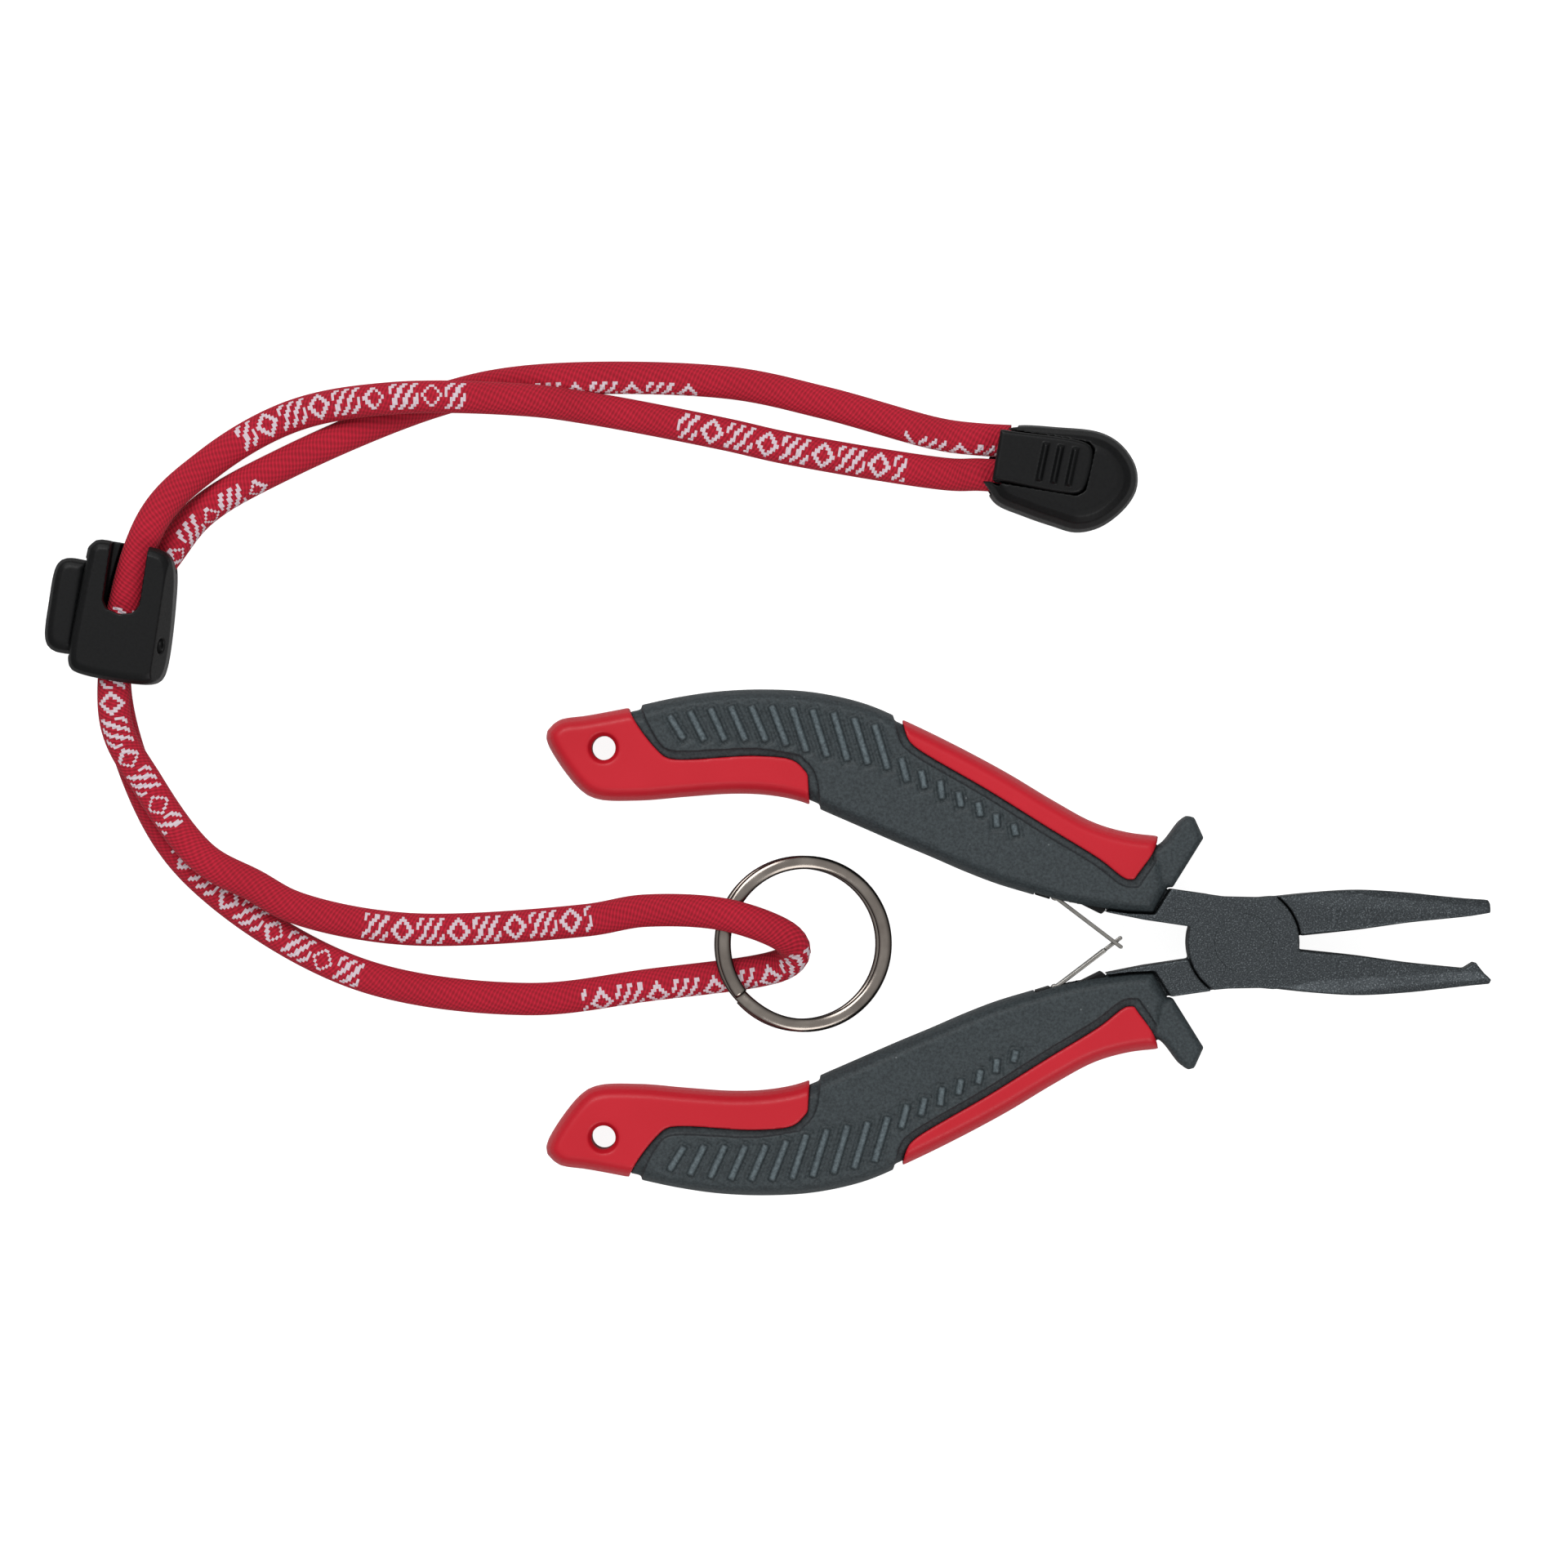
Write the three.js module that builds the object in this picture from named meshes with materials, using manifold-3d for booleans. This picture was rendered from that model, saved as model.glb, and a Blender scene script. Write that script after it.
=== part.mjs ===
// Fishing pliers with a wrist lanyard, as separate pieces, in millimetres, +Z up, jaws towards +X.
// Plan positions are written from the pivot; every piece is then moved so that the pliers' own
// bounding box has its bottom centre at the origin.
import * as THREE from 'three';
import { mergeVertices } from 'three/addons/utils/BufferGeometryUtils.js';
import Module from 'manifold-3d';

const wasm = await Module();
wasm.setup();

// ---- driving dimensions (mm) ----
const PIVOT_X = 36.2; // pivot's distance from the origin along +X
const HANDLE_Z = [0.4, 11.6]; // handle faces without the ribs
const RIB_Z = [0, 12]; // ribs stand 0.4 proud of both faces
const STEEL_Z = [1.5, 10.5]; // lever thickness
const LAP_GAP = 0.15; // half of the gap between the two laps
const MID_Z = 6; // parting plane of the whole tool
const DISC_R = 9; // lap disc
const DISC_GAP = 0.3; // round the other lever's disc
const RIVET_R = 3.5;
const RIVET_HEAD_R = 4.6;
const RIVET_GAP = 0.1; // running fit in both levers
const SEAT_GAP = 0.2; // between moulded pieces and what they hold
const LEAF_T = 0.6;
const LEAF_Z = [3.5, 8.5];
const LEAF_ROOT = [-30.3, 7.35];
const LEAF_ANGLE = -37.2; // degrees below the handle, at rest
const LEAF_SWING = [25, 46.5]; // degrees the leaf needs inside its seat
const LEAF_LENGTH = 13.6;
const LEAF_SPLIT = 10.3; // where the fork's slot and the tongue begin
const STRAP_W = 5.3;
const STRAP_T = 3.3;
const RING_R = 13.2; // mean radius of the split ring
const RING_BAND = 2.2;
const RING_WIRE = 1.1;

const group = new THREE.Group();

// ---- shared shaping functions ----
function toSolid(geometry) {
  geometry.deleteAttribute('normal');
  geometry.deleteAttribute('uv');
  const merged = mergeVertices(geometry, 1e-4);
  return new wasm.Manifold(new wasm.Mesh({
    numProp: 3,
    vertProperties: Float32Array.from(merged.attributes.position.array),
    triVerts: Uint32Array.from(merged.index.array),
  }));
}

function toShape(points) {
  return new THREE.Shape(points.map(([x, y]) => new THREE.Vector2(x, y)));
}

// flat piece between two heights; edge and rise set back its top and bottom rims
function plate(points, [z0, z1], { edge = 0, rise = edge, rounds = 1, inset = 0 } = {}) {
  const bevel = edge + inset > 0;
  const geometry = new THREE.ExtrudeGeometry(toShape(points), {
    depth: z1 - z0 - (bevel ? 2 * rise : 0),
    bevelEnabled: bevel,
    bevelThickness: rise,
    bevelSize: edge,
    bevelOffset: -edge - inset,
    bevelSegments: rounds,
  });
  geometry.translate(0, 0, z0 + (bevel ? rise : 0));
  return toSolid(geometry);
}

// the same piece, larger by a gap on every side, for cutting its pocket
function pocket(points, [z0, z1], gap = SEAT_GAP) {
  const geometry = new THREE.ExtrudeGeometry(toShape(points), {
    depth: z1 - z0, bevelThickness: gap, bevelSize: gap, bevelSegments: 1,
  });
  geometry.translate(0, 0, z0);
  return toSolid(geometry);
}

function post([x, y], r, [z0, z1], sides = 24) {
  const geometry = new THREE.CylinderGeometry(r, r, z1 - z0, sides);
  geometry.rotateX(Math.PI / 2);
  geometry.translate(x, y, (z0 + z1) / 2);
  return toSolid(geometry);
}

// block whose outline is drawn from the side, in X and Z
function sidePlate(points, width) {
  const geometry = new THREE.ExtrudeGeometry(toShape(points), { depth: width, bevelEnabled: false });
  geometry.rotateX(Math.PI / 2);
  geometry.translate(0, width / 2, 0);
  return toSolid(geometry);
}

// handle pieces are drawn for the upper handle; side -1 mirrors them to the lower one
const onSide = (points, side) => points.map(([x, y]) => [x, y * side]);

function addPiece(name, solid, color, roughness = 0.5, metalness = 0) {
  const mesh = solid.getMesh();
  const geometry = new THREE.BufferGeometry();
  geometry.setAttribute('position', new THREE.BufferAttribute(mesh.vertProperties, 3));
  geometry.setIndex(new THREE.BufferAttribute(mesh.triVerts, 1));
  geometry.translate(PIVOT_X, 0, 0);
  const piece = new THREE.Mesh(geometry, new THREE.MeshStandardMaterial({ color, roughness, metalness }));
  piece.name = name;
  group.add(piece);
}

// ---- levers: one forging each of tang, arm, lap disc and jaw ----
const ARM = [[0, 7.1], [-2.6, 7.4], [-11.4, 8.3], [-13.9, 4.4], [-16.2, 4.1], [-16, 3.5], [-8.6, 2.6], [0, 0]];
const TANG = [
  [-15, 5], [-19.5, 9.1], [-24, 11.9], [-33, 15.3], [-45, 19.8], [-60, 26.2], [-65.5, 28.6],
  [-64, 32.2], [-52, 27.6], [-40, 22.6], [-30, 18.2], [-22, 14.8], [-16.5, 12.3], [-12.5, 8.8],
  [-10.5, 7.6], [-10.5, 4],
];
const TANG_Z = [3.6, 8.4];
// the laps are trimmed flat where the disc would stand above and below the arms
const DISC_CLIP = [
  [-12, 8.3], [-2.6, 7.4], [2.6, 7.3], [12, 8.1], [12, -8.1], [2.6, -7.3], [-2.6, -7.4], [-12, -8.3],
];
const PLAIN_JAW = [
  [0, 0], [9.1, 1.1], [18.4, 2.1], [26.3, 3.2], [31.6, 3.75], [36.5, 4.25], [39.5, 4.8], [40.1, 5.6],
  [39.4, 6.5], [36.9, 6.9], [31.6, 7.5], [26.3, 8.05], [18.4, 8.45], [10.4, 8], [2.6, 7.2], [0, 7.1],
];
const HOOK_JAW = [
  [0, 0], [9.1, -1.1], [18.4, -2.1], [26.3, -3.2], [31.6, -3.75], [35.8, -4.2], [36.8, -3.35], [37.9, -3.5],
  [38.4, -4.6], [39.9, -5.3], [39.6, -6.5], [36.9, -6.9], [31.6, -7.5], [26.3, -8.05],
  [18.4, -8.45], [10.4, -8], [2.6, -7.2], [0, -7.1],
];
// both faces fall away towards the jaw tips
const SIDE_PROFILE = [[-70, 1.5], [12, 1.5], [41, 2.9], [41, 9.1], [12, 10.5], [-70, 10.5]];
const JAW_EDGE = 0.6;

function lever(arm, jaw, tang, onTop) {
  const [z0, z1] = STEEL_Z;
  const layer = onTop ? [MID_Z + LAP_GAP, z1] : [z0, MID_Z - LAP_GAP];
  const other = onTop ? [z0 - 1, MID_Z + LAP_GAP] : [MID_Z - LAP_GAP, z1 + 1];
  const headSide = onTop ? [z1 - 1.1, z1 + 1] : [z0 - 1, z0 + 1.1];
  const disc = post([0, 0], DISC_R, layer, 64).intersect(plate(DISC_CLIP, STEEL_Z));
  return plate(arm, STEEL_Z)
    .add(plate(jaw, STEEL_Z, { edge: JAW_EDGE }))
    .subtract(post([0, 0], DISC_R + DISC_GAP, other, 64))
    .add(disc)
    .intersect(sidePlate(SIDE_PROFILE, 40))
    .add(plate(tang, TANG_Z))
    .subtract(post([0, 0], RIVET_R + RIVET_GAP, [z0 - 1, z1 + 1], 48))
    .subtract(post([0, 0], RIVET_HEAD_R + DISC_GAP, headSide, 48));
}
addPiece('lever_hook_jaw', lever(ARM, HOOK_JAW, TANG, true), 0x3c4144, 0.45, 0.8);
addPiece('lever_plain_jaw', lever(onSide(ARM, -1), PLAIN_JAW, onSide(TANG, -1), false), 0x3c4144, 0.45, 0.8);

// ---- pivot rivet: shank with a flush head on each face ----
const [STEEL_LOW, STEEL_HIGH] = STEEL_Z;
addPiece('pivot_rivet', post([0, 0], RIVET_R, [STEEL_LOW, STEEL_HIGH], 48)
  .add(post([0, 0], RIVET_HEAD_R, [STEEL_LOW, STEEL_LOW + 1], 48))
  .add(post([0, 0], RIVET_HEAD_R, [STEEL_HIGH - 1, STEEL_HIGH], 48)), 0x43484b, 0.4, 0.8);

// ---- handles: red moulded body round the tang, dark soft grip over it ----
const HANDLE = [
  [-112.5, 32.6], [-112.4, 34.2], [-110.6, 35.9], [-105.8, 36.7], [-99.4, 37.9], [-91.5, 39.6], [-84.5, 40.6],
  [-76.8, 40.9], [-69, 40.4], [-61, 38.6], [-54, 35.6], [-46, 31.7], [-38, 27.4], [-30.5, 22.9], [-24, 19.4],
  [-18.5, 17.8], [-13.5, 17.2], [-11.9, 9], [-14.4, 4.5], [-18.6, 4.7], [-23.9, 5.4], [-29.2, 6.4],
  [-34.5, 7.9], [-39.8, 9.5], [-45, 11.5], [-50.3, 13.8], [-55.6, 16], [-60.9, 18.3], [-66.2, 20.6],
  [-71.5, 22.8], [-76.8, 23.8], [-82.5, 24], [-90, 23.5], [-97.5, 22.9], [-104.5, 23.2], [-107.2, 24.8],
];
const HANDLE_SIDE = { edge: 2, rise: 4.8, rounds: 2 }; // sloping sides up from the parting line
// red areas that reach the surface: the tail with the inner strip, and the outer strip in front
const TAIL_AREA = [
  [-116, 12], [-116, 44], [-99.8, 44], [-99, 37.5], [-94.3, 30.8], [-92.7, 29.7], [-78.3, 30.1], [-72.4, 29.3],
  [-70.3, 27.2], [-69.2, 12],
];
const STRIP_AREA = [
  [-55.3, 45], [-55, 35.9], [-54, 32.6], [-52.9, 31.5], [-40.7, 24.3], [-31.9, 18.8], [-23.1, 13.4], [-19, 10.3],
  [-17.7, 10.2], [-13.7, 16.9], [-13.7, 45],
];
// the raised pads stop about 1 mm short of the red, leaving a channel
const TAIL_CHANNEL = [
  [-116, 12], [-116, 46], [-98, 46], [-97.1, 38.1], [-93.9, 31.9], [-92.7, 31.1], [-78.3, 31.3], [-71.6, 30.3],
  [-69.1, 27.4], [-68, 12],
];
const STRIP_CHANNEL = [
  [-57.2, 46], [-56.3, 36], [-55.1, 31.9], [-53.4, 30.4], [-41.2, 23.2], [-32.4, 17.6], [-23.7, 12.3],
  [-19.3, 9.1], [-16.9, 9], [-12.5, 16.8], [-12.5, 46],
];
const CHANNEL_DEPTH = 0.9;
const ALL_Z = [-1, 13];
// hidden middle of the red body, under the grip
const CORE = [
  [-100, 27], [-100, 34], [-88, 36.8], [-78, 37.8], [-68, 37], [-60, 34.8], [-50, 31.5], [-40, 26.2],
  [-30, 20.4], [-22, 16.7], [-16.3, 14.7], [-14.8, 10.5], [-16.6, 7.4], [-20, 8.2], [-24, 10.7], [-34, 12.4],
  [-45, 16], [-56, 20.6], [-66, 24.6], [-72, 26.2], [-95, 26.4],
];
const CORE_Z = [2.6, 9.4];
const GUARD = [
  [-13, 16.1], [-10.1, 19.7], [-8.9, 20.5], [-7.9, 20.2], [-6.4, 16.9], [-11.4, 8.9], [-14.6, 9.4], [-15, 15],
];
const GUARD_Z = [1.2, 10.8];
const TAIL_HOLE = [-103.2, 31.4];
const TAIL_HOLE_R = 1.9;
const TAIL_SINK_R = 2.5;
const RIB_W = 1.5;
// outer and inner end of every rib
const RIBS = [
  [-92.7, 36.8, -90.1, 32.6], [-89.4, 37.5, -86.8, 32.4], [-86.1, 38, -83.5, 32.4], [-82.8, 38.3, -80.2, 32.4],
  [-79.5, 38.4, -76.9, 32.3], [-76.2, 38.4, -73.6, 31.6], [-72.9, 38.2, -70.4, 30.6], [-69.6, 37.8, -67.1, 29.8],
  [-66.2, 37.3, -63.8, 29.2], [-62.9, 36.5, -60.5, 28.6], [-59.6, 35.4, -57.3, 27.8], [-55.3, 30, -54.2, 25.8],
  [-52.1, 28, -51.4, 24.7], [-49, 26.4, -48.6, 23], [-46.1, 24.6, -45.5, 21.7], [-42.9, 22.9, -42.4, 20.2],
  [-40, 21.1, -39.8, 18.4], [-37.2, 19.4, -36.7, 17.1],
];

// leaf seat: small black block let into the inner wall, with a lug over the leaf
const SEAT = [
  [-33.5, 7.7], [-33.5, 9.8], [-24.8, 9.8], [-23.6, 8], [-23.6, 4.7], [-24.4, 4.5], [-27.5, 5.6], [-30.4, 6.75],
];
const SEAT_Z = [3.1, 8.9];
const rad = THREE.MathUtils.degToRad;
// area the leaf sweeps inside its seat, with clearance
function leafSweep() {
  const [x, y] = LEAF_ROOT;
  const clear = LEAF_T / 2 + SEAT_GAP;
  const points = [];
  const ray = (degrees, along, across) => {
    const a = -rad(degrees);
    points.push([x + along * Math.cos(a) - across * Math.sin(a), y + along * Math.sin(a) + across * Math.cos(a)]);
  };
  ray(LEAF_SWING[0], LEAF_LENGTH, clear);
  ray(LEAF_SWING[0], 0.5, clear + 0.3);
  ray(LEAF_SWING[0], -0.4, clear + 0.35);
  ray(LEAF_SWING[0], -0.9, 0);
  ray(LEAF_SWING[1], -0.4, -clear - 0.35);
  ray(LEAF_SWING[1], 0.5, -clear - 0.3);
  ray(LEAF_SWING[1], LEAF_LENGTH, -clear);
  return points;
}

function handle(name, side) {
  const p = (points) => onSide(points, side);
  const whole = plate(p(HANDLE), HANDLE_Z, HANDLE_SIDE);
  const [low, high] = HANDLE_Z;
  const channelFloor = plate(p(HANDLE), [low + CHANNEL_DEPTH, high - CHANNEL_DEPTH], {
    edge: HANDLE_SIDE.edge - 0.6, rise: HANDLE_SIDE.rise - CHANNEL_DEPTH, rounds: 2, inset: 0.7,
  });
  const lever = pocket(p(ARM), STEEL_Z).add(pocket(p(TANG), TANG_Z));
  const sweep = plate(p(leafSweep()), [LEAF_Z[0] - 0.3, LEAF_Z[1] + 0.3]);

  const hole = post([TAIL_HOLE[0], TAIL_HOLE[1] * side], TAIL_HOLE_R, ALL_Z)
    .add(post([TAIL_HOLE[0], TAIL_HOLE[1] * side], TAIL_SINK_R, [high - 0.8, high + 1]))
    .add(post([TAIL_HOLE[0], TAIL_HOLE[1] * side], TAIL_SINK_R, [low - 1, low + 0.8]));
  const core = whole
    .intersect(plate(p(TAIL_AREA), ALL_Z).add(plate(p(STRIP_AREA), ALL_Z)))
    .add(plate(p(CORE), CORE_Z))
    .subtract(lever)
    .subtract(hole);
  addPiece(`handle_core_${name}`, core, 0xc82c39, 0.4);

  let grip = whole
    .subtract(plate(p(TAIL_CHANNEL), ALL_Z))
    .subtract(plate(p(STRIP_CHANNEL), ALL_Z))
    .add(channelFloor)
    .add(plate(p(GUARD), GUARD_Z, { edge: 0.8, rise: 1.6 }));
  for (const [x0, y0, x1, y1] of RIBS) {
    const length = Math.hypot(x1 - x0, y1 - y0);
    const [wx, wy] = [(-(y1 - y0) / length) * (RIB_W / 2), ((x1 - x0) / length) * (RIB_W / 2)];
    const bar = [[x0 + wx, y0 + wy], [x1 + wx, y1 + wy], [x1 - wx, y1 - wy], [x0 - wx, y0 - wy]];
    grip = grip.add(plate(p(bar), RIB_Z, { edge: 0.4 }));
  }
  grip = grip
    .subtract(pocket(p(TAIL_AREA), ALL_Z))
    .subtract(pocket(p(STRIP_AREA), ALL_Z))
    .subtract(pocket(p(CORE), CORE_Z))
    .subtract(lever)
    .subtract(pocket(p(SEAT), SEAT_Z))
    .subtract(sweep);
  addPiece(`grip_${name}`, grip, 0x3a4448, 0.75);

  addPiece(`spring_seat_${name}`, plate(p(SEAT), SEAT_Z).subtract(plate(p(leafSweep()), ALL_Z)), 0x1c1e20, 0.5);
}
handle('upper', 1);
handle('lower', -1);

// ---- return springs: two flat leaves that cross on the mid-line, fork over tongue ----
function leaf(side) {
  const [x, y] = LEAF_ROOT;
  const a = rad(LEAF_ANGLE);
  const strip = (from, to, across) => onSide([[from, across], [to, across], [to, -across], [from, -across]]
    .map(([s, t]) => [x + s * Math.cos(a) - t * Math.sin(a), y + s * Math.sin(a) + t * Math.cos(a)]), side);
  const root = post([x, y * side], 0.6, LEAF_Z, 16);
  const half = LEAF_T / 2;
  if (side > 0) {
    return plate(strip(0, LEAF_LENGTH, half), LEAF_Z).add(root)
      .subtract(plate(strip(LEAF_SPLIT, LEAF_LENGTH + 1, 1), [MID_Z - 1.1, MID_Z + 1.1]));
  }
  return plate(strip(0, LEAF_SPLIT - 0.1, half), LEAF_Z).add(root)
    .add(plate(strip(LEAF_SPLIT - 1, LEAF_LENGTH, half), [MID_Z - 0.7, MID_Z + 0.7]));
}
addPiece('leaf_spring_fork', leaf(1), 0x9a9a96, 0.3, 0.9);
addPiece('leaf_spring_tongue', leaf(-1), 0x9a9a96, 0.3, 0.9);

// ---- lanyard: one woven strap from the cord end, through the lock, round the ring and back ----
const STRAP_ROUTE = [
  [-38.3, 75.4, 4.8], [-42.4, 75.7, 4.5], [-47.2, 75.8, 2.8], [-73.1, 80, 1.8], [-83.8, 82.4, 1.8],
  [-105.4, 86.5, 2.4], [-116.2, 87.8, 4.4], [-137.8, 88, 5.4], [-154, 85.2, 2.5], [-167.5, 77.4, 3.2],
  [-176.7, 67.1, 7.3], [-182.2, 36.7, 7.4], [-177, 25.5, 5.7], [-168.1, 13.7, 5.5], [-159.9, 9.2, 5.4],
  [-153.2, 5.6, 4.8], [-135.7, 2.1, 2], [-106.3, 3.5, 3.2], [-96.6, 5.1, 5.6], [-83.1, 4.4, 8.5],
  [-73.6, 0.7, 7], [-72.4, -1.5, 5], [-74.3, -3.6, 3], [-96.6, -7.1, 1.8], [-116.1, -9.3, 1.8],
  [-143.2, -5.2, 1.8], [-165.5, 7.7, 1.8], [-175.5, 19.2, 1.8], [-182.5, 41.8, 4], [-179.1, 55.9, 3.9],
  [-174.5, 62.3, 3.2], [-168.6, 69.8, 1.9], [-155.1, 77.6, 1.8], [-130.8, 87.7, 1.8], [-116.2, 90.9, 1.8],
  [-83.8, 90.8, 1.8], [-67.6, 87.5, 1.8], [-48.8, 82.3, 2.8], [-42.4, 81.4, 4.5], [-37.4, 81.1, 4.8],
];

// a path whose section stays level, with stations set closer together in the bends
class LevelPath extends THREE.CatmullRomCurve3 {
  constructor(points, longest = 9, turn = 0.28) {
    super(points.map((q) => new THREE.Vector3(...q)), false, 'centripetal');
    const fine = 1500;
    this.arcLengthDivisions = fine;
    const total = this.getLength();
    this.stations = [0];
    let tangent = this.getTangentAt(0);
    for (let i = 1; i < fine; i += 1) {
      const u = i / fine;
      const here = this.getTangentAt(u);
      const run = (u - this.stations.at(-1)) * total;
      if (run > longest || (tangent.angleTo(here) > turn && run > 0.8)) {
        this.stations.push(u);
        tangent = here;
      }
    }
    this.stations.push(1);
  }

  getSpacedPoints() {
    return this.stations.map((u) => this.getPointAt(u));
  }

  computeFrenetFrames() {
    const up = new THREE.Vector3(0, 0, 1);
    const frames = { tangents: [], normals: [], binormals: [] };
    for (const u of this.stations) {
      const tangent = this.getTangentAt(u);
      const normal = up.clone().cross(tangent).normalize();
      frames.tangents.push(tangent);
      frames.normals.push(normal);
      frames.binormals.push(tangent.clone().cross(normal));
    }
    return frames;
  }
}

function tube(path, width, height, sides) {
  const section = [];
  for (let i = 0; i < sides; i += 1) {
    const a = ((i + 0.5) / sides) * 2 * Math.PI;
    section.push([(width / 2) * Math.cos(a), (height / 2) * Math.sin(a)]);
  }
  return toSolid(new THREE.ExtrudeGeometry(toShape(section), {
    steps: path.stations.length - 1, extrudePath: path,
  }));
}
addPiece('lanyard_strap', tube(new LevelPath(STRAP_ROUTE), STRAP_W, STRAP_T, 10), 0xb11e35, 0.85);

// ---- split ring: two turns of flat wire, tipped up where it lies on the strap ----
const RING_CENTRE = [-71.5, -0.3];
const RING_TILT = rad(8.6);
const RING_TURN_GAP = 0.15;
class RingPath extends THREE.Curve {
  constructor() {
    super();
    this.count = 96;
    this.from = rad(222);
    this.sweep = rad(716);
  }

  angle(t) {
    return this.from + this.sweep * t;
  }

  getPoint(t) {
    const a = this.angle(t);
    const step = THREE.MathUtils.smoothstep(t * this.sweep, rad(340), rad(376));
    return new THREE.Vector3(RING_R * Math.cos(a), RING_R * Math.sin(a), step * (RING_WIRE + RING_TURN_GAP));
  }

  getSpacedPoints(count) {
    return Array.from({ length: count + 1 }, (_, i) => this.getPoint(i / count));
  }

  computeFrenetFrames(count) {
    const frames = { tangents: [], normals: [], binormals: [] };
    for (let i = 0; i <= count; i += 1) {
      const a = this.angle(i / count);
      frames.tangents.push(new THREE.Vector3(-Math.sin(a), Math.cos(a), 0));
      frames.normals.push(new THREE.Vector3(-Math.cos(a), -Math.sin(a), 0));
      frames.binormals.push(new THREE.Vector3(0, 0, 1));
    }
    return frames;
  }
}
function splitRing() {
  const [w, h] = [RING_BAND / 2, RING_WIRE / 2];
  const path = new RingPath();
  const geometry = new THREE.ExtrudeGeometry(toShape([[-w, -h], [w, -h], [w, h], [-w, h]]), {
    steps: path.count, extrudePath: path,
  });
  geometry.translate(-RING_R - w, 0, h);
  geometry.rotateY(RING_TILT);
  geometry.translate(RING_CENTRE[0] + RING_R + w, RING_CENTRE[1], 0.1);
  return toSolid(geometry);
}
addPiece('split_ring', splitRing(), 0x706965, 0.25, 1);

// ---- cord lock: block with a slot for both strands, push button on its side ----
const LOCK_CENTRE = [-181.4, 53.3];
const LOCK_LEAN = rad(-8.66);
const lockPlan = (points) => points.map(([u, v]) => [
  LOCK_CENTRE[0] + u * Math.cos(LOCK_LEAN) - v * Math.sin(LOCK_LEAN),
  LOCK_CENTRE[1] + u * Math.sin(LOCK_LEAN) + v * Math.cos(LOCK_LEAN),
]);
const LOCK_BODY = [
  [-5.2, 11], [-1.9, 11.2], [4.6, 11.1], [6.6, 10.4], [7.6, 8.6], [8.4, 2], [8.5, -8.1], [7.9, -9.9], [6.3, -10.8],
  [-4.3, -10.8], [-6.2, -10.2], [-6.9, -8.7], [-6.8, 2], [-6.4, 9.6],
];
const LOCK_Z = [0, 12];
const LOCK_BUTTON = [
  [-5.8, 7.5], [-9.4, 7.5], [-10.7, 6.8], [-11.3, 5.4], [-11.5, 0], [-11.3, -5.6], [-10.7, -7], [-9.4, -7.8],
  [-5.8, -7.8],
];
const BUTTON_Z = [1.6, 10.4];
const BUTTON_POCKET = [[-8.5, 7.8], [-8.5, -8.1], [-3.4, -8.1], [-3.4, 7.8]];
const BUTTON_POCKET_Z = [1.3, 10.7];
const FRONT_SLOT = [[-2.7, 12], [-2.7, 1.6], [-1.9, 0.3], [0.3, -0.3], [2.5, 0.3], [3.3, 1.6], [3.3, 12]];
const FRONT_SLOT_Z = [7.9, 13];
const STRAND_GAP = 0.8;
const upperStrand = new LevelPath(STRAP_ROUTE.slice(9, 13), 6);
const lowerStrand = new LevelPath(STRAP_ROUTE.slice(27, 33), 6);
addPiece('cord_lock_body', plate(lockPlan(LOCK_BODY), LOCK_Z, { edge: 1.1, rise: 1.1, rounds: 2 })
  .subtract(tube(upperStrand, STRAP_W + STRAND_GAP, STRAP_T + STRAND_GAP, 12))
  .subtract(tube(lowerStrand, STRAP_W + STRAND_GAP, STRAP_T + STRAND_GAP, 12))
  .subtract(plate(lockPlan(FRONT_SLOT), FRONT_SLOT_Z))
  .subtract(plate(lockPlan(BUTTON_POCKET), BUTTON_POCKET_Z)), 0x222325, 0.5);
addPiece('cord_lock_button', plate(lockPlan(LOCK_BUTTON), BUTTON_Z, { edge: 0.8, rise: 1.2, rounds: 2 }),
  0x202123, 0.5);

// ---- cord end: drop-shaped clamp over both strap ends, hinged lid let into its face ----
const CLAMP_HINGE = [-38.8, 78.4];
const CLAMP_LEAN = rad(-9.4);
const clampPlan = (points) => points.map(([a, b]) => [
  CLAMP_HINGE[0] + a * Math.cos(CLAMP_LEAN) - b * Math.sin(CLAMP_LEAN),
  CLAMP_HINGE[1] + a * Math.sin(CLAMP_LEAN) + b * Math.cos(CLAMP_LEAN),
]);
const CLAMP_BODY = [
  [-42.9, 75], [-41.5, 73.4], [-39.6, 71], [-35.6, 69], [-30.5, 67.4], [-26.4, 66.3], [-22.4, 67.7],
  [-18.4, 70.6], [-17.1, 73.2], [-17, 76.2], [-18.2, 78.9], [-20.4, 81.2], [-23.4, 82.6], [-29.8, 83.3],
  [-36.3, 83.6], [-38.5, 83],
];
const CLAMP_Z = [0, 11];
const CLAMP_MOUTH = [[-7, -6.2], [1.7, -6.2], [1.7, 6.5], [-7, 6.5]];
const CLAMP_MOUTH_Z = [2.4, 8];
const LID = [[-1.1, -3.5], [12.9, -3.5], [13.9, -2.6], [14, 2.6], [13, 3.5], [-1.1, 3.5]];
const LID_Z = [8.2, 11.4];
const LID_BAY = [[-6, -3.8], [13, -3.8], [14.2, -2.8], [14.3, 2.8], [13.1, 3.8], [-6, 3.8]];
const LID_RIDGES = [5.2, 8, 10.8];
const PIN_R = 0.8;
const PIN_Z = 9.7;
function pin(reach, r) {
  const geometry = new THREE.CylinderGeometry(r, r, reach, 24);
  geometry.rotateZ(CLAMP_LEAN);
  geometry.translate(CLAMP_HINGE[0], CLAMP_HINGE[1], PIN_Z);
  return toSolid(geometry);
}
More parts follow.
